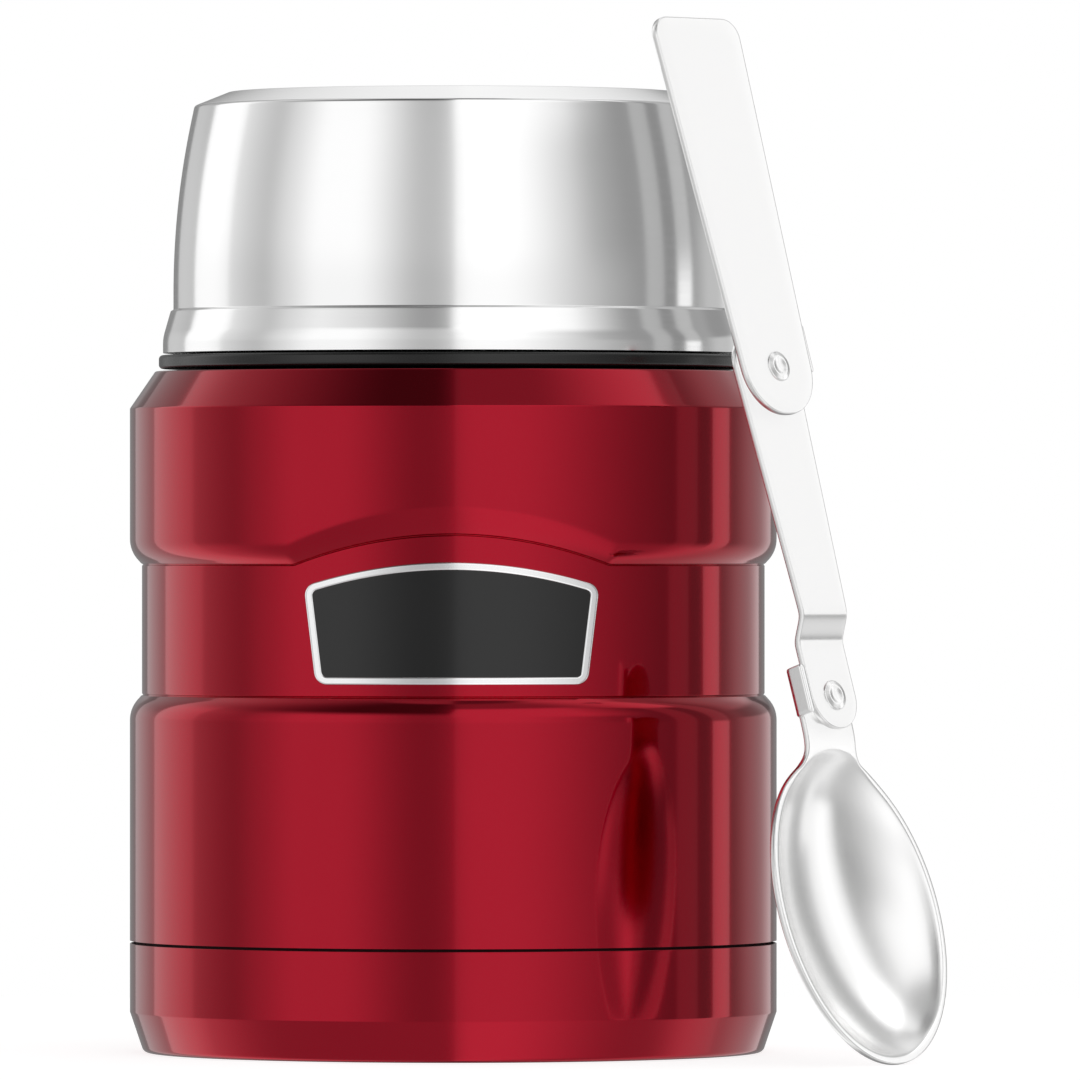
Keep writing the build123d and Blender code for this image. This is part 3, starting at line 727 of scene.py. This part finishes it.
def makeShell(s):
    # A turned sheet with a small rolled groove where the waist meets each ledge. Its heights shift
    # with the angle: over the badge the waist's upper ledge rises along a circle's arc,
    # archRise - (R - sqrt(R^2 - x^2)), and its slope grows from ledge to archLedge. The shift
    # fades out evenly down to the waist's foot and up to the shoulder. The columns stand closer in
    # front, at angle = turn - crowding * cos(turn).
    crease = s["crease"]
    foot, top, waist = s["waistBottom"], s["waistTop"], s["waistRadius"]
    outside = roundedPath([
        (s["radius"], s["bottom"], 0),
        (s["radius"], foot - s["ledge"], s["bandRounding"]),
        (waist + crease * 0.6, foot - crease * 0.6, 0.12),
        (waist - crease, foot + crease * 0.2, 0.05),
        (waist, foot + crease * 1.4, 0.12),
        (waist, top - crease * 1.4, 0.12),
        (waist - crease, top - crease * 0.2, 0.05),
        (waist + crease * 0.6, top + crease * 0.6, 0.12),
        (s["radius"], top + s["ledge"], s["bandRounding"]),
        (s["radius"], s["shoulderBottom"], s["shoulderRounding"]),
        (s["shoulderRadius"], s["shoulderTop"], s["shoulderRounding"]),
        (s["neckRadius"], s["shoulderTop"], 0.6),
        (s["neckRadius"], s["neckTop"], 0),
    ])
    path = walled(outside, s["wall"])
    turn = round360(s["columns"])[None, :]
    angle = turn - s["crowding"] * np.cos(turn)
    r, z = path[:, 0, None], path[:, 1, None]
    arc = (s["archHalf"] ** 2 + s["archRise"] ** 2) / (2 * s["archRise"])
    x = s["waistRadius"] * np.cos(angle)
    rise = s["archRise"] - arc + np.sqrt(np.maximum(arc ** 2 - x ** 2, 0))
    rise = np.where(np.sin(angle) < 0, np.maximum(rise, 0), 0)
    share = rise / s["archRise"]
    ledgeTop = s["waistTop"] + s["ledge"]
    below = np.clip((z - s["waistBottom"]) / (s["waistTop"] - s["waistBottom"]), 0, 1)
    onLedge = np.clip((z - s["waistTop"]) / s["ledge"], 0, 1)
    above = np.clip((s["shoulderBottom"] - z) / (s["shoulderBottom"] - ledgeTop), 0, 1)
    shift = below * rise + onLedge * share * (s["archLedge"] - s["ledge"])
    z = z + shift * above
    grid = np.stack([r * np.cos(angle), r * np.sin(angle), z], axis=-1)
    makePiece("jarShell", [(grid, True, True, False)], "jar", redCoat, ["outer_shell"])


makeShell(shell)

neckThread = {
    "radius": 35.3, "side": 1, "height": 1.0, "foot": 1.7, "crest": 0.7, "lead": 12.0, "starts": 3,
    "z": 101.2, "from": 0, "sweep": 255, "runOut": 14, "steps": 180,
}
makePiece("neckThread", threadRidges(neckThread), "jar", plainSteel)


# base cup

cup = {
    "radius": 47.0, "top": 15.85, "seat": 45.0, "footWidth": 6.0, "footSlope": 1.6,
    "chamfer": 5.9, "wall": 0.8, "sleeveTop": 18.0, "sleeveBottom": 13.2, "sleeve": 46.15, "edge": 0.08,
}


def makeCup(s):
    # Turned: underside, foot ring, side and the sleeve inside the shell, then back along the inside.
    inner = s["radius"] - s["wall"]
    under = s["seat"] - s["footWidth"] - s["footSlope"]
    path = roundedPath([
        (0, s["footSlope"], 0),
        (under, s["footSlope"], 0.8),
        (s["seat"] - s["footWidth"], 0, 0.5),
        (s["seat"], 0, 1.0),
        (s["radius"], s["chamfer"], 0.5),
        (s["radius"], s["top"], s["edge"]),
        (s["sleeve"], s["top"], 0),
        (s["sleeve"], s["sleeveTop"], 0.2),
        (s["sleeve"] - s["wall"], s["sleeveTop"], 0.2),
        (s["sleeve"] - s["wall"], s["sleeveBottom"], 0),
        (inner, s["sleeveBottom"], 0),
        (inner, s["chamfer"], 0.4),
        (s["seat"] - 0.6, s["wall"], 0.4),
        (0, s["footSlope"] + s["wall"], 0),
    ])
    makePiece("jarBase", [turned(path, closed=False)], "jar", redCoat, ["base_cup"])


makeCup(cup)


# inner vessel

vessel = {
    "radius": 41.1, "bottom": 9.5, "corner": 8.0, "bend": 8.0, "wall": 0.6,
    "bendLow": 88.05, "bendHigh": 94.95, "mouth": 34.2, "neckTop": 113.2, "lip": 35.6, "lipTop": 114.0,
}


def makeVessel(s):
    # Turned: the outside up to the neck, the lip folded over the neck, and back down the inside.
    outside = roundedPath([
        (0, s["bottom"], 0),
        (s["radius"], s["bottom"], s["corner"]),
        (s["radius"], s["bendLow"], s["bend"]),
        (s["mouth"], s["bendHigh"], s["bend"]),
        (s["mouth"], s["neckTop"], 0),
    ])
    lip = roundedPath([
        (s["mouth"], s["neckTop"], 0),
        (s["lip"], s["neckTop"], 0.1),
        (s["lip"], s["lipTop"], 0.39),
        (s["mouth"] - s["wall"], s["lipTop"], 0.39),
        (s["mouth"] - s["wall"], s["neckTop"], 0),
    ])
    path = np.vstack([outside, lip[1:-1], offsetPath(outside, s["wall"])[::-1]])
    makePiece("jarLiner", [turned(path, closed=False)], "jar", plainSteel, ["inner_vessel"])


makeVessel(vessel)


# stopper

stopper = {
    "columns": 480,
    "plugRadius": 32.6, "plugBottom": 100.25, "groove": 31.9, "grooveTop": 103.35, "deck": 114.35,
    "foamRadius": 31.0, "foamTop": 105.25, "skirtInner": 36.8, "skirtRadius": 38.2,
    "flangeRadius": 42.8, "flangeBottom": 99.25, "flangeTop": 101.25, "flangeEdge": 0.6,
    "drumRadius": 37.4, "stepBottom": 108.65, "stepTop": 109.45, "top": 121.55, "topEdge": 0.8,
    "halfLength": 34.0, "halfWidth": 19.5, "floor": 106.85, "floorRounding": 2.0, "rimRounding": 0.5,
    "scoopRadius": 9.0, "scoopFloor": 113.55,
}


def makeStopper(s):
    # The outside is turned. The recess in its top is a set of closed curves that follow the
    # distance from the axis to a stadium's edge, and at the top to the farther of the stadium's
    # edge and the finger scoop's circle.
    angle = round360(s["columns"])
    along, across = np.abs(np.cos(angle)), np.abs(np.sin(angle))
    half = s["halfLength"] - s["halfWidth"]
    end = half * along + np.sqrt(np.maximum(s["halfWidth"] ** 2 - (half * across) ** 2, 0))
    side = s["halfWidth"] / np.maximum(across, 1e-6)
    slot = np.where(side * along <= half, side, end)
    reach = s["halfWidth"] * np.sin(angle)
    inside = s["scoopRadius"] ** 2 - (s["halfWidth"] * np.cos(angle)) ** 2
    scoop = np.where((inside > 0) & (reach > 0), reach + np.sqrt(np.maximum(inside, 0)), 0)
    direction = np.stack([np.cos(angle), np.sin(angle)], axis=-1)
    lower = direction * slot[:, None]
    upper = direction * np.maximum(slot, scoop)[:, None]

    def curve(outline, inset, z):
        moved = offsetPath(outline, inset, True)
        return np.column_stack([moved, np.full(len(moved), z)])

    outside = roundedPath([
        (s["foamRadius"], s["foamTop"], 0),
        (s["foamRadius"], s["plugBottom"], 0),
        (s["groove"], s["plugBottom"], 0),
        (s["groove"], s["grooveTop"], 0),
        (s["plugRadius"], s["grooveTop"], 0.2),
        (s["plugRadius"], s["deck"], 1.0),
        (s["skirtInner"], s["deck"], 1.0),
        (s["skirtInner"], s["flangeBottom"], 0.6),
        (s["flangeRadius"], s["flangeBottom"], s["flangeEdge"]),
        (s["flangeRadius"], s["flangeTop"], s["flangeEdge"]),
        (s["skirtRadius"], s["flangeTop"], 0.3),
        (s["skirtRadius"], s["stepBottom"], 0.3),
        (s["drumRadius"], s["stepTop"], 0.3),
        (s["drumRadius"], s["top"], s["topEdge"]),
        (s["drumRadius"] - 1.4, s["top"], 0),
    ])
    rows = [turned(outside, s["columns"])[0]]
    quarter = np.radians(np.linspace(0, 90, 5))
    edge = s["rimRounding"]
    for t in quarter:
        rows.append(curve(upper, -edge * (1 - np.sin(t)), s["top"] - edge * (1 - np.cos(t)))[None])
    rows.append(curve(upper, 0, s["scoopFloor"] + 0.2)[None])
    rows.append(curve(upper, 0, s["scoopFloor"])[None])
    rows.append(curve(lower, 0, s["scoopFloor"])[None])
    rows.append(curve(lower, 0, s["scoopFloor"] - 0.2)[None])
    foot = s["floorRounding"]
    for t in quarter:
        rows.append(curve(lower, foot * (1 - np.cos(t)), s["floor"] + foot * (1 - np.sin(t)))[None])
    rows.append(curve(lower, foot + 0.4, s["floor"])[None])
    rows.append(np.tile([0, 0, s["floor"]], (s["columns"], 1))[None])
    rows.append(np.tile([0, 0, s["foamTop"]], (s["columns"], 1))[None])
    grid = np.concatenate(rows)
    makePiece("stopperBody", [(grid, True, True, False)], "stopper", blackPlastic,
              ["stopper_body"])


makeStopper(stopper)

stopperInnerThread = {
    "radius": 36.8, "side": -1, "height": 0.9, "foot": 1.6, "crest": 0.6, "lead": 12.0, "starts": 3,
    "z": 101.2, "from": 60, "sweep": 165, "runOut": 14, "steps": 130,
}
stopperOuterThread = {
    "radius": 38.2, "side": 1, "height": 0.9, "foot": 1.5, "crest": 0.6, "lead": 12.0, "starts": 3,
    "z": 102.9, "from": 20, "sweep": 140, "runOut": 12, "steps": 120,
}
makePiece("stopperThreads", threadRidges(stopperInnerThread) + threadRidges(stopperOuterThread),
          "stopper", blackPlastic)

plugCap = {
    "radius": 32.6, "bottom": 97.85, "top": 100.25, "chamfer": 1.0, "spigot": 30.85, "spigotTop": 101.25,
    "dishedTo": 22.0, "ringFrom": 23.5, "dished": 0.5,
}


def makePlugCap(s):
    # Turned: an underside that is dished inside a flat ring, a rounded edge and the spigot.
    path = roundedPath([
        (0, s["bottom"] + s["dished"], 0),
        (s["dishedTo"], s["bottom"] + s["dished"], 0.6),
        (s["ringFrom"], s["bottom"], 0.6),
        (s["radius"], s["bottom"], s["chamfer"]),
        (s["radius"], s["top"], 0.3),
        (s["spigot"], s["top"], 0),
        (s["spigot"], s["spigotTop"], 0.3),
        (0, s["spigotTop"], 0),
    ])
    makePiece("plugCap", [turned(path, closed=False)],
              "stopper", blackPlastic, ["plug_cover"])


makePlugCap(plugCap)

gasket = {"inner": 31.95, "outer": 33.45, "bottom": 100.3, "height": 3.0, "waist": 32.6, "lip": 0.42}


def makeGasket(s):
    # Turned: two rounded lips with a channel between them.
    third = s["height"] / 3
    path = roundedPath([
        (s["inner"], s["bottom"], 0.1),
        (s["outer"], s["bottom"], s["lip"]),
        (s["outer"], s["bottom"] + third, s["lip"]),
        (s["waist"], s["bottom"] + third * 1.2, 0.2),
        (s["waist"], s["bottom"] + third * 1.8, 0.2),
        (s["outer"], s["bottom"] + third * 2, s["lip"]),
        (s["outer"], s["bottom"] + s["height"], s["lip"]),
        (s["inner"], s["bottom"] + s["height"], 0.1),
    ], closed=True)
    makePiece("gasketRing", [turned(path)], "stopper_seal", silicone, ["stopper_gasket"])


makeGasket(gasket)


# bowl that serves as the lid

bowl = {
    "rimRadius": 42.2, "rimBottom": 101.55, "rimRoll": 103.75, "rollRadius": 6.0,
    "stepRadius": 41.08, "stepBottom": 107.65, "stepRounding": 0.3, "radius": 40.68, "sideBottom": 107.85,
    "sideBend": 122.96, "sideRadius": 121.0, "topEdge": 37.62, "sideTop": 137.45, "edgeRounding": 0.7,
    "flatRadius": 32.62, "top": 139.45, "flatRounding": 1.0, "wall": 0.5, "linerInset": 1.7,
    "linerFoot": 108.95, "linerFlange": 40.1,
}


def bowlTop(s):
    return [
        (s["radius"], s["sideBend"], s["sideRadius"]),
        (s["topEdge"], s["sideTop"], s["edgeRounding"]),
        (s["flatRadius"], s["top"], s["flatRounding"]),
        (0, s["top"], 0),
    ]


def makeBowl(s):
    # Turned sheet: the rim rolls in, steps to the side, the side curves in to the bevel and the flat.
    outside = roundedPath([
        (s["rimRadius"], s["rimBottom"], 0),
        (s["rimRadius"], s["rimRoll"], s["rollRadius"]),
        (s["stepRadius"], s["stepBottom"], s["stepRounding"]),
        (s["radius"], s["sideBottom"], 0.2),
    ] + bowlTop(s))
    makePiece("bowlOuter", [turned(walled(outside, s["wall"]), 360)],
              "bowl", polishedSteel, ["bowl_shell"])
    whole = roundedPath([(s["radius"], s["linerFoot"], 0)] + bowlTop(s))
    outer = offsetPath(whole, s["linerInset"])
    inner = offsetPath(whole, s["linerInset"] + s["wall"])
    flange = roundedPath([
        (inner[0, 0], s["linerFoot"], 0),
        (s["linerFlange"], s["linerFoot"], 0.2),
        (s["linerFlange"], s["linerFoot"] + s["wall"], 0.2),
        (outer[0, 0], s["linerFoot"] + s["wall"], 0.3),
        (outer[1, 0], outer[1, 1] + 1.0, 0),
    ])
    path = np.vstack([flange[:-1], outer[2:], inner[::-1][:-1]])
    makePiece("bowlInner", [turned(path, 360)],
              "bowl_lining", polishedSteel, ["bowl_liner"])


makeBowl(bowl)

bowlRing = {"inner": 39.4, "outer": 40.1, "bottom": 101.95, "top": 108.95, "foot": 41.62, "footTop": 103.35}


def makeRing(s):
    path = roundedPath([
        (s["inner"], s["bottom"], 0.25),
        (s["foot"], s["bottom"], 0.25),
        (s["foot"], s["footTop"], 0.25),
        (s["outer"], s["footTop"], 0.2),
        (s["outer"], s["top"], 0.2),
        (s["inner"], s["top"], 0.2),
    ], closed=True)
    makePiece("bowlThreadRing", [turned(path)], "bowl", blackPlastic, ["bowl_ring"])


makeRing(bowlRing)

bowlThread = {
    "radius": 39.4, "side": -1, "height": 0.8, "foot": 1.4, "crest": 0.5, "lead": 12.0, "starts": 3,
    "z": 102.9, "from": 80, "sweep": 120, "runOut": 12, "steps": 110,
}
makePiece("bowlThread", threadRidges(bowlThread), "bowl", blackPlastic)


# badge on the waist

badge = {
    "radius": 45.25, "crown": 71.25, "shoulder": 67.85, "bottom": 53.75,
    "topHalf": 21.1, "bottomHalf": 19.4, "corner": 1.9,
    "border": 1.15, "borderHeight": 0.55, "faceHeight": 0.35, "sink": 0.3, "overlap": 0.05, "rings": 26,
}


def badgeOutline(s):
    # Right half from the bottom's middle to the crown: straight bottom and side, and an arched top
    # that follows a circle's arc through both shoulders and the crown. The left half mirrors it.
    sag = s["crown"] - s["shoulder"]
    arc = (s["topHalf"] ** 2 + sag ** 2) / (2 * sag)
    x = np.linspace(s["topHalf"], 0, 40)
    top = np.column_stack([x, s["crown"] - arc + np.sqrt(arc ** 2 - x ** 2)])
    slope = top[1] - top[0]
    ahead = top[0] + slope / np.linalg.norm(slope) * 4
    sides = roundedPath([
        (0, s["bottom"], 0),
        (s["bottomHalf"], s["bottom"], s["corner"]),
        (s["topHalf"], s["shoulder"], s["corner"]),
        (ahead[0], ahead[1], 0),
    ])
    half = np.vstack([sides[:-1], top[top[:, 0] < sides[-2, 0] - 0.2]])
    half = evenly(half, 0.35)
    left = half[1:-1][::-1] * [-1, 1]
    return np.vstack([half, left])


def onWaist(points, height, radius):
    # A flat point (x, z) goes straight back onto the waist's cylinder, height over its wall.
    y = -np.sqrt((radius + height) ** 2 - points[..., 0] ** 2)
    return np.stack([points[..., 0], y, points[..., 1]], axis=-1)


def makeBadge(s):
    outline = badgeOutline(s)
    # The border's section: up from the wall, a rounded top and down to the wall again.
    high, wide = s["borderHeight"], s["border"]
    section = roundedPath([(0, -s["sink"], 0), (0, high, 0.3), (wide, high, 0.3), (wide, -s["sink"], 0)])
    rows = [onWaist(offsetPath(outline, inset, True), height, s["radius"])[None]
            for inset, height in section]
    makePiece("badgeBorder", [(np.concatenate(rows), True, True, False)],
              "jar", badgeSilver, ["badge_bezel"])
    # The face shrinks from the border's inner edge onto its middle.
    edge = offsetPath(outline, wide - s["overlap"], True)
    middle = np.array([0, (s["crown"] + s["bottom"]) / 2])
    share = np.linspace(0, 1, s["rings"])[:, None, None]
    flat = middle + share * (edge - middle)
    front = onWaist(flat, s["faceHeight"], s["radius"])
    back = onWaist(flat[::-1], -s["sink"], s["radius"])
    makePiece("badgeFace", [(np.concatenate([front, back]), False, True, False)],
              "jar", badgeBlack, ["badge_field"])


makeBadge(badge)


# folding spoon, laid out on the grip's back: x across, y along, z towards the front

spoon = {
    "place": (45.839, -39.3518, 98.8506), "normal": (0.714292, -0.631952, 0.300706), "yaw": 48.5,
    "linkLength": 47.8, "blade": 1.0, "edge": 0.32, "step": 0.4,
}
spoonNormal = np.array(spoon["normal"])
spoonAcross = np.array([math.cos(math.radians(spoon["yaw"])), math.sin(math.radians(spoon["yaw"])), 0])
spoonAlong = np.cross(spoonNormal, spoonAcross)


def onSpoon(grid):
    # Spoon coordinates to jar coordinates: place + x * across + y * along + z * normal.
    return (np.array(spoon["place"]) + grid[..., :1] * spoonAcross + grid[..., 1:2] * spoonAlong
            + grid[..., 2:] * spoonNormal)


def mirrored(half):
    # A closed outline from its right half, which runs from the lower end to the upper end.
    return np.vstack([half, half[1:-1][::-1] * [-1, 1]])


def bladeGrid(half, front, back, low, high, edge, insets=(), rings=14):
    # A blade between two heights, front(x, y) and back(x, y). Its outline is moved in step by step,
    # then shrinks across onto the centre line between low and high. Round the rim the section is
    # a rounded square from the front to the back.
    outline = mirrored(half)

    def heights(points, height):
        return np.column_stack([points, height(points[:, 0], points[:, 1])])

    frame = [offsetPath(outline, inset, True) for inset in (*reversed(insets), edge)]
    core = frame[0]
    spine = np.column_stack([np.zeros(len(core)), np.clip(core[:, 1], low, high)])
    inner = [spine + share * (core - spine) for share in np.linspace(0, 1, rings)[:-1]]
    flat = inner + frame
    rows = [heights(points, front) for points in flat]
    top = heights(flat[-1], front)[:, 2]
    under = heights(flat[-1], back)[:, 2]
    for t in np.radians(np.linspace(0, 180, 11)[1:-1]):
        moved = offsetPath(outline, edge * (1 - math.sin(t) ** 0.5), True)
        side = math.copysign(abs(math.cos(t)) ** 0.5, math.cos(t))
        rows.append(np.column_stack([moved, (top + under) / 2 + (top - under) / 2 * side]))
    rows += [heights(points, back) for points in reversed(flat)]
    return onSpoon(np.stack(rows)), False, True, False


grip = {
    "front": 1.0, "low": -7.05, "lowHalf": 7.05, "lowRounding": 7.0,
    "high": 52.6, "highHalf": 9.25, "highRounding": 3.0, "spine": (0, 44), "rings": 5,
}


def makeGrip(s):
    half = evenly(roundedPath([
        (0, s["low"], 0),
        (s["lowHalf"], s["low"], s["lowRounding"]),
        (s["highHalf"], s["high"], s["highRounding"]),
        (0, s["high"], 0),
    ]), spoon["step"])

    def front(x, y):
        return s["front"] + 0 * x

    grid = bladeGrid(half, front, lambda x, y: front(x, y) - spoon["blade"], *s["spine"], spoon["edge"],
                     rings=s["rings"])
    return makePiece("gripBlade", [grid], "spoon_handle", spoonSteel, ["spoon_grip"])


# How far from a tab's end its section is drawn in, and by how much.
tabEnds = ((0, 0.3), (0.09, 0.09), (0.3, 0), (0.6, 0))
linkTab = {
    "inner": 7.6, "outer": 8.6, "foot": 5.0, "low": -2.05, "top": 0.4, "start": -0.5, "end": 6.5, "side": 1,
}
dishTab = {
    "inner": 5.15, "outer": 6.2, "foot": 4.0, "low": -6.2, "top": -2.8, "start": -50.2, "end": -43.1,
    "side": -1,
}


def bentTab(s):
    # A strip bent up beside a blade: an L in x and z with a rounded bend, carried along y. Its ends
    # are rounded off by drawing the section in.
    inner, outer, low, top = s["inner"], s["outer"], s["low"], s["top"]
    upper = low + spoon["blade"]
    section = roundedPath([
        (s["foot"], low, 0), (outer, low, 1.3), (outer, top, 0.4), (inner, top, 0.4), (inner, upper, 0.3),
        (s["foot"], upper, 0),
    ], closed=True)
    stops = [(s["start"] + far, inset) for far, inset in tabEnds]
    stops += [(s["end"] - far, inset) for far, inset in reversed(tabEnds)]
    rows = []
    for y, inset in stops:
        moved = offsetPath(section, inset, True)
        rows.append(np.column_stack([moved[:, 0] * s["side"], np.full(len(moved), y), moved[:, 1]]))
    return onSpoon(np.stack(rows)), False, True, True


link = {
    "front": -1.05, "joggle": 2.1, "joggleFrom": -36.3, "joggleRun": 3.3,
    "low": -52.65, "lowHalf": 4.85, "lowRounding": 4.8, "bend": 6.0,
    "high": 6.5, "highHalf": 6.75, "highRounding": 6.2, "rings": 6,
}


def makeLink(s):
    half = evenly(roundedPath([
        (0, s["low"], 0),
        (s["lowHalf"], s["low"], s["lowRounding"]),
        (s["lowHalf"], s["joggleFrom"], s["bend"]),
        (s["highHalf"], s["high"], s["highRounding"]),
        (0, s["high"], 0),
    ]), spoon["step"])

    def front(x, y):
        return s["front"] - s["joggle"] * softRamp((s["joggleFrom"] - y) / s["joggleRun"], 0.09) + 0 * x

    grid = bladeGrid(half, front, lambda x, y: front(x, y) - spoon["blade"], -spoon["linkLength"], 0,
                     spoon["edge"], rings=s["rings"])
    return makePiece("linkBlade", [grid, bentTab(linkTab)], "spoon_middle", spoonSteel,
                     ["spoon_link"])


dish = {
    "neckFront": -5.2, "rimLevel": -7.4, "slopeFrom": -54.7, "slopeRun": 3.7, "blend": 0.16,
    "middle": -78.2, "halfWidth": 17.25, "halfLength": 22.8, "depth": 7.5, "curve": 4.5, "wall": 0.9,
    "joinHalf": 7.0, "joinRise": 1.06, "joinRounding": 3.65,
    "neckHalf": 5.2, "neckTop": -42.6, "neckRounding": 5.15,
    "spine": (-88, -48), "rings": 40, "insets": (0.55, 0.75, 0.9, 1.0, 1.1, 1.25, 1.5, 2.0),
}


def makeHead(s):
    # Over the dish the front follows an ellipsoid, rim + curve - depth * sqrt(1 - (x/a)^2 - (y/b)^2),
    # and elsewhere the neck's level, which eases down to the rim's.
    width, length = s["halfWidth"], s["halfLength"]
    deep = s["depth"] + s["curve"]
    share = math.sqrt(1 - (s["curve"] / deep) ** 2)
    turn = np.linspace(0, math.pi - math.asin(s["joinHalf"] / width), 120)
    ellipse = np.column_stack([width * np.sin(turn), s["middle"] - length * np.cos(turn)])
    neck = roundedPath([
        (ellipse[-1, 0], ellipse[-1, 1], 0),
        (s["neckHalf"], ellipse[-1, 1] + s["joinRise"], s["joinRounding"]),
        (s["neckHalf"], s["neckTop"], s["neckRounding"]),
        (0, s["neckTop"], 0),
    ])
    half = evenly(np.vstack([ellipse, neck[1:]]), spoon["step"])

    def level(x, y):
        slope = softRamp((s["slopeFrom"] - y) / s["slopeRun"], 0.28)
        return s["neckFront"] + (s["rimLevel"] - s["neckFront"]) * slope + 0 * x

    def cap(x, y, inset):
        acrossIt = x / (width / share - inset)
        alongIt = (y - s["middle"]) / (length / share - inset)
        inside = 1 - acrossIt ** 2 - alongIt ** 2
        return s["rimLevel"] + s["curve"] - (deep - inset) * np.sqrt(np.maximum(inside, 0))

    def front(x, y):
        return softMin(level(x, y), cap(x, y, s["wall"]), s["blend"])

    def back(x, y):
        return softMin(level(x, y) - s["wall"], cap(x, y, 0), s["blend"])

    grid = bladeGrid(half, front, back, *s["spine"], spoon["edge"], s["insets"], s["rings"])
    return makePiece("dishBlade", [grid, bentTab(dishTab)], "spoon_head", spoonSteel,
                     ["spoon_bowl"])


rivet = {
    "head": 2.2, "height": 0.5, "shank": 1.3, "dome": 1.4,
    "gripEnds": (-2.1, 1.0), "dishEnds": (-6.2, -3.1),
}


def makeRivet(name, y, span, body, node, s):
    # Turned in the spoon's frame: a head at each end, the front one a low dome with a hollow top.
    back, front = span
    path = roundedPath([
        (0, back - s["height"], 0),
        (s["head"], back - s["height"], 0.4),
        (s["head"], back + 0.02, 0),
        (s["shank"], back + 0.02, 0),
        (s["shank"], front - 0.02, 0),
        (s["head"], front - 0.02, 0),
        (s["head"], front + s["height"] * 0.5, 0.18),
        (s["dome"], front + s["height"], 0.5),
        (0, front + s["height"] * 0.2, 0),
    ])
    grid, closed, wrap, ends = turned(path, 64, closed=False)
    grid = onSpoon(grid + np.array([0, y, 0]))
    return makePiece(name, [(grid, closed, wrap, ends)], body, spoonSteel, [node])


gripBlade = makeGrip(grip)
linkBlade = makeLink(link)
dishBlade = makeHead(dish)
gripRivet = makeRivet("gripRivet", 0, rivet["gripEnds"], "spoon_handle", "grip_rivet", rivet)
dishRivet = makeRivet("dishRivet", -spoon["linkLength"], rivet["dishEnds"], "spoon_head", "bowl_rivet",
                      rivet)
# The jar doesn't reflect these.
flats = (gripBlade, linkBlade, gripRivet, dishRivet)
for piece in flats:
    piece.visible_glossy = False


# lights that only the spoon sees: white cards beside it

cardCentre = (0.055, -0.047, 0.022)     # by the dish, in metres
cards = {
    "flats": {"azimuth": 100, "rise": 22, "away": 1.00, "size": (0.80, 0.80), "light": 0.64},
    "dish": {"azimuth": 95, "rise": 24, "away": 0.20, "size": (0.09, 0.26), "light": 0.75},
}


def makeCard(name, s, pieces):
    # Stands away from cardCentre and faces it. Its energy is pi times its area times its light.
    turn, rise = math.radians(s["azimuth"]), math.radians(s["rise"])
    level = math.cos(rise)
    direction = np.array([math.sin(turn) * level, -math.cos(turn) * level, math.sin(rise)])
    data = bpy.data.lights.new(name, "AREA")
    data.shape = "RECTANGLE"
    data.size, data.size_y = s["size"]
    data.energy = math.pi * s["size"][0] * s["size"][1] * s["light"]
    card = bpy.data.objects.new(name, data)
    card.location = np.array(cardCentre) + direction * s["away"]
    card.rotation_euler = (math.radians(90) - rise, 0, turn)
    card.visible_camera = False
    receivers = bpy.data.collections.new(name)
    for piece in pieces:
        receivers.objects.link(piece)
    card.light_linking.receiver_collection = receivers
    bpy.context.scene.collection.objects.link(card)


makeCard("flats", cards["flats"], flats)
makeCard("dish", cards["dish"], [dishBlade])
print("cards made")


# nodes of the frame that stay as they are get their finishes

keptNodes = {
    "closing_plate": plainSteel,
    "radiation_foil": foil,
    "pump_seal": solder,
    "getter": solder,
    "stopper_foam": foam,
    "grip_washer": spoonSteel,
    "bowl_washer": spoonSteel,
}
for name, finish in keptNodes.items():
    node = nodes[name]
    if not node.material_slots:
        node.data.materials.append(finish)
    for slot in node.material_slots:
        slot.material = finish
print("kept nodes finished")

bpy.context.scene.view_settings.view_transform = "Standard"
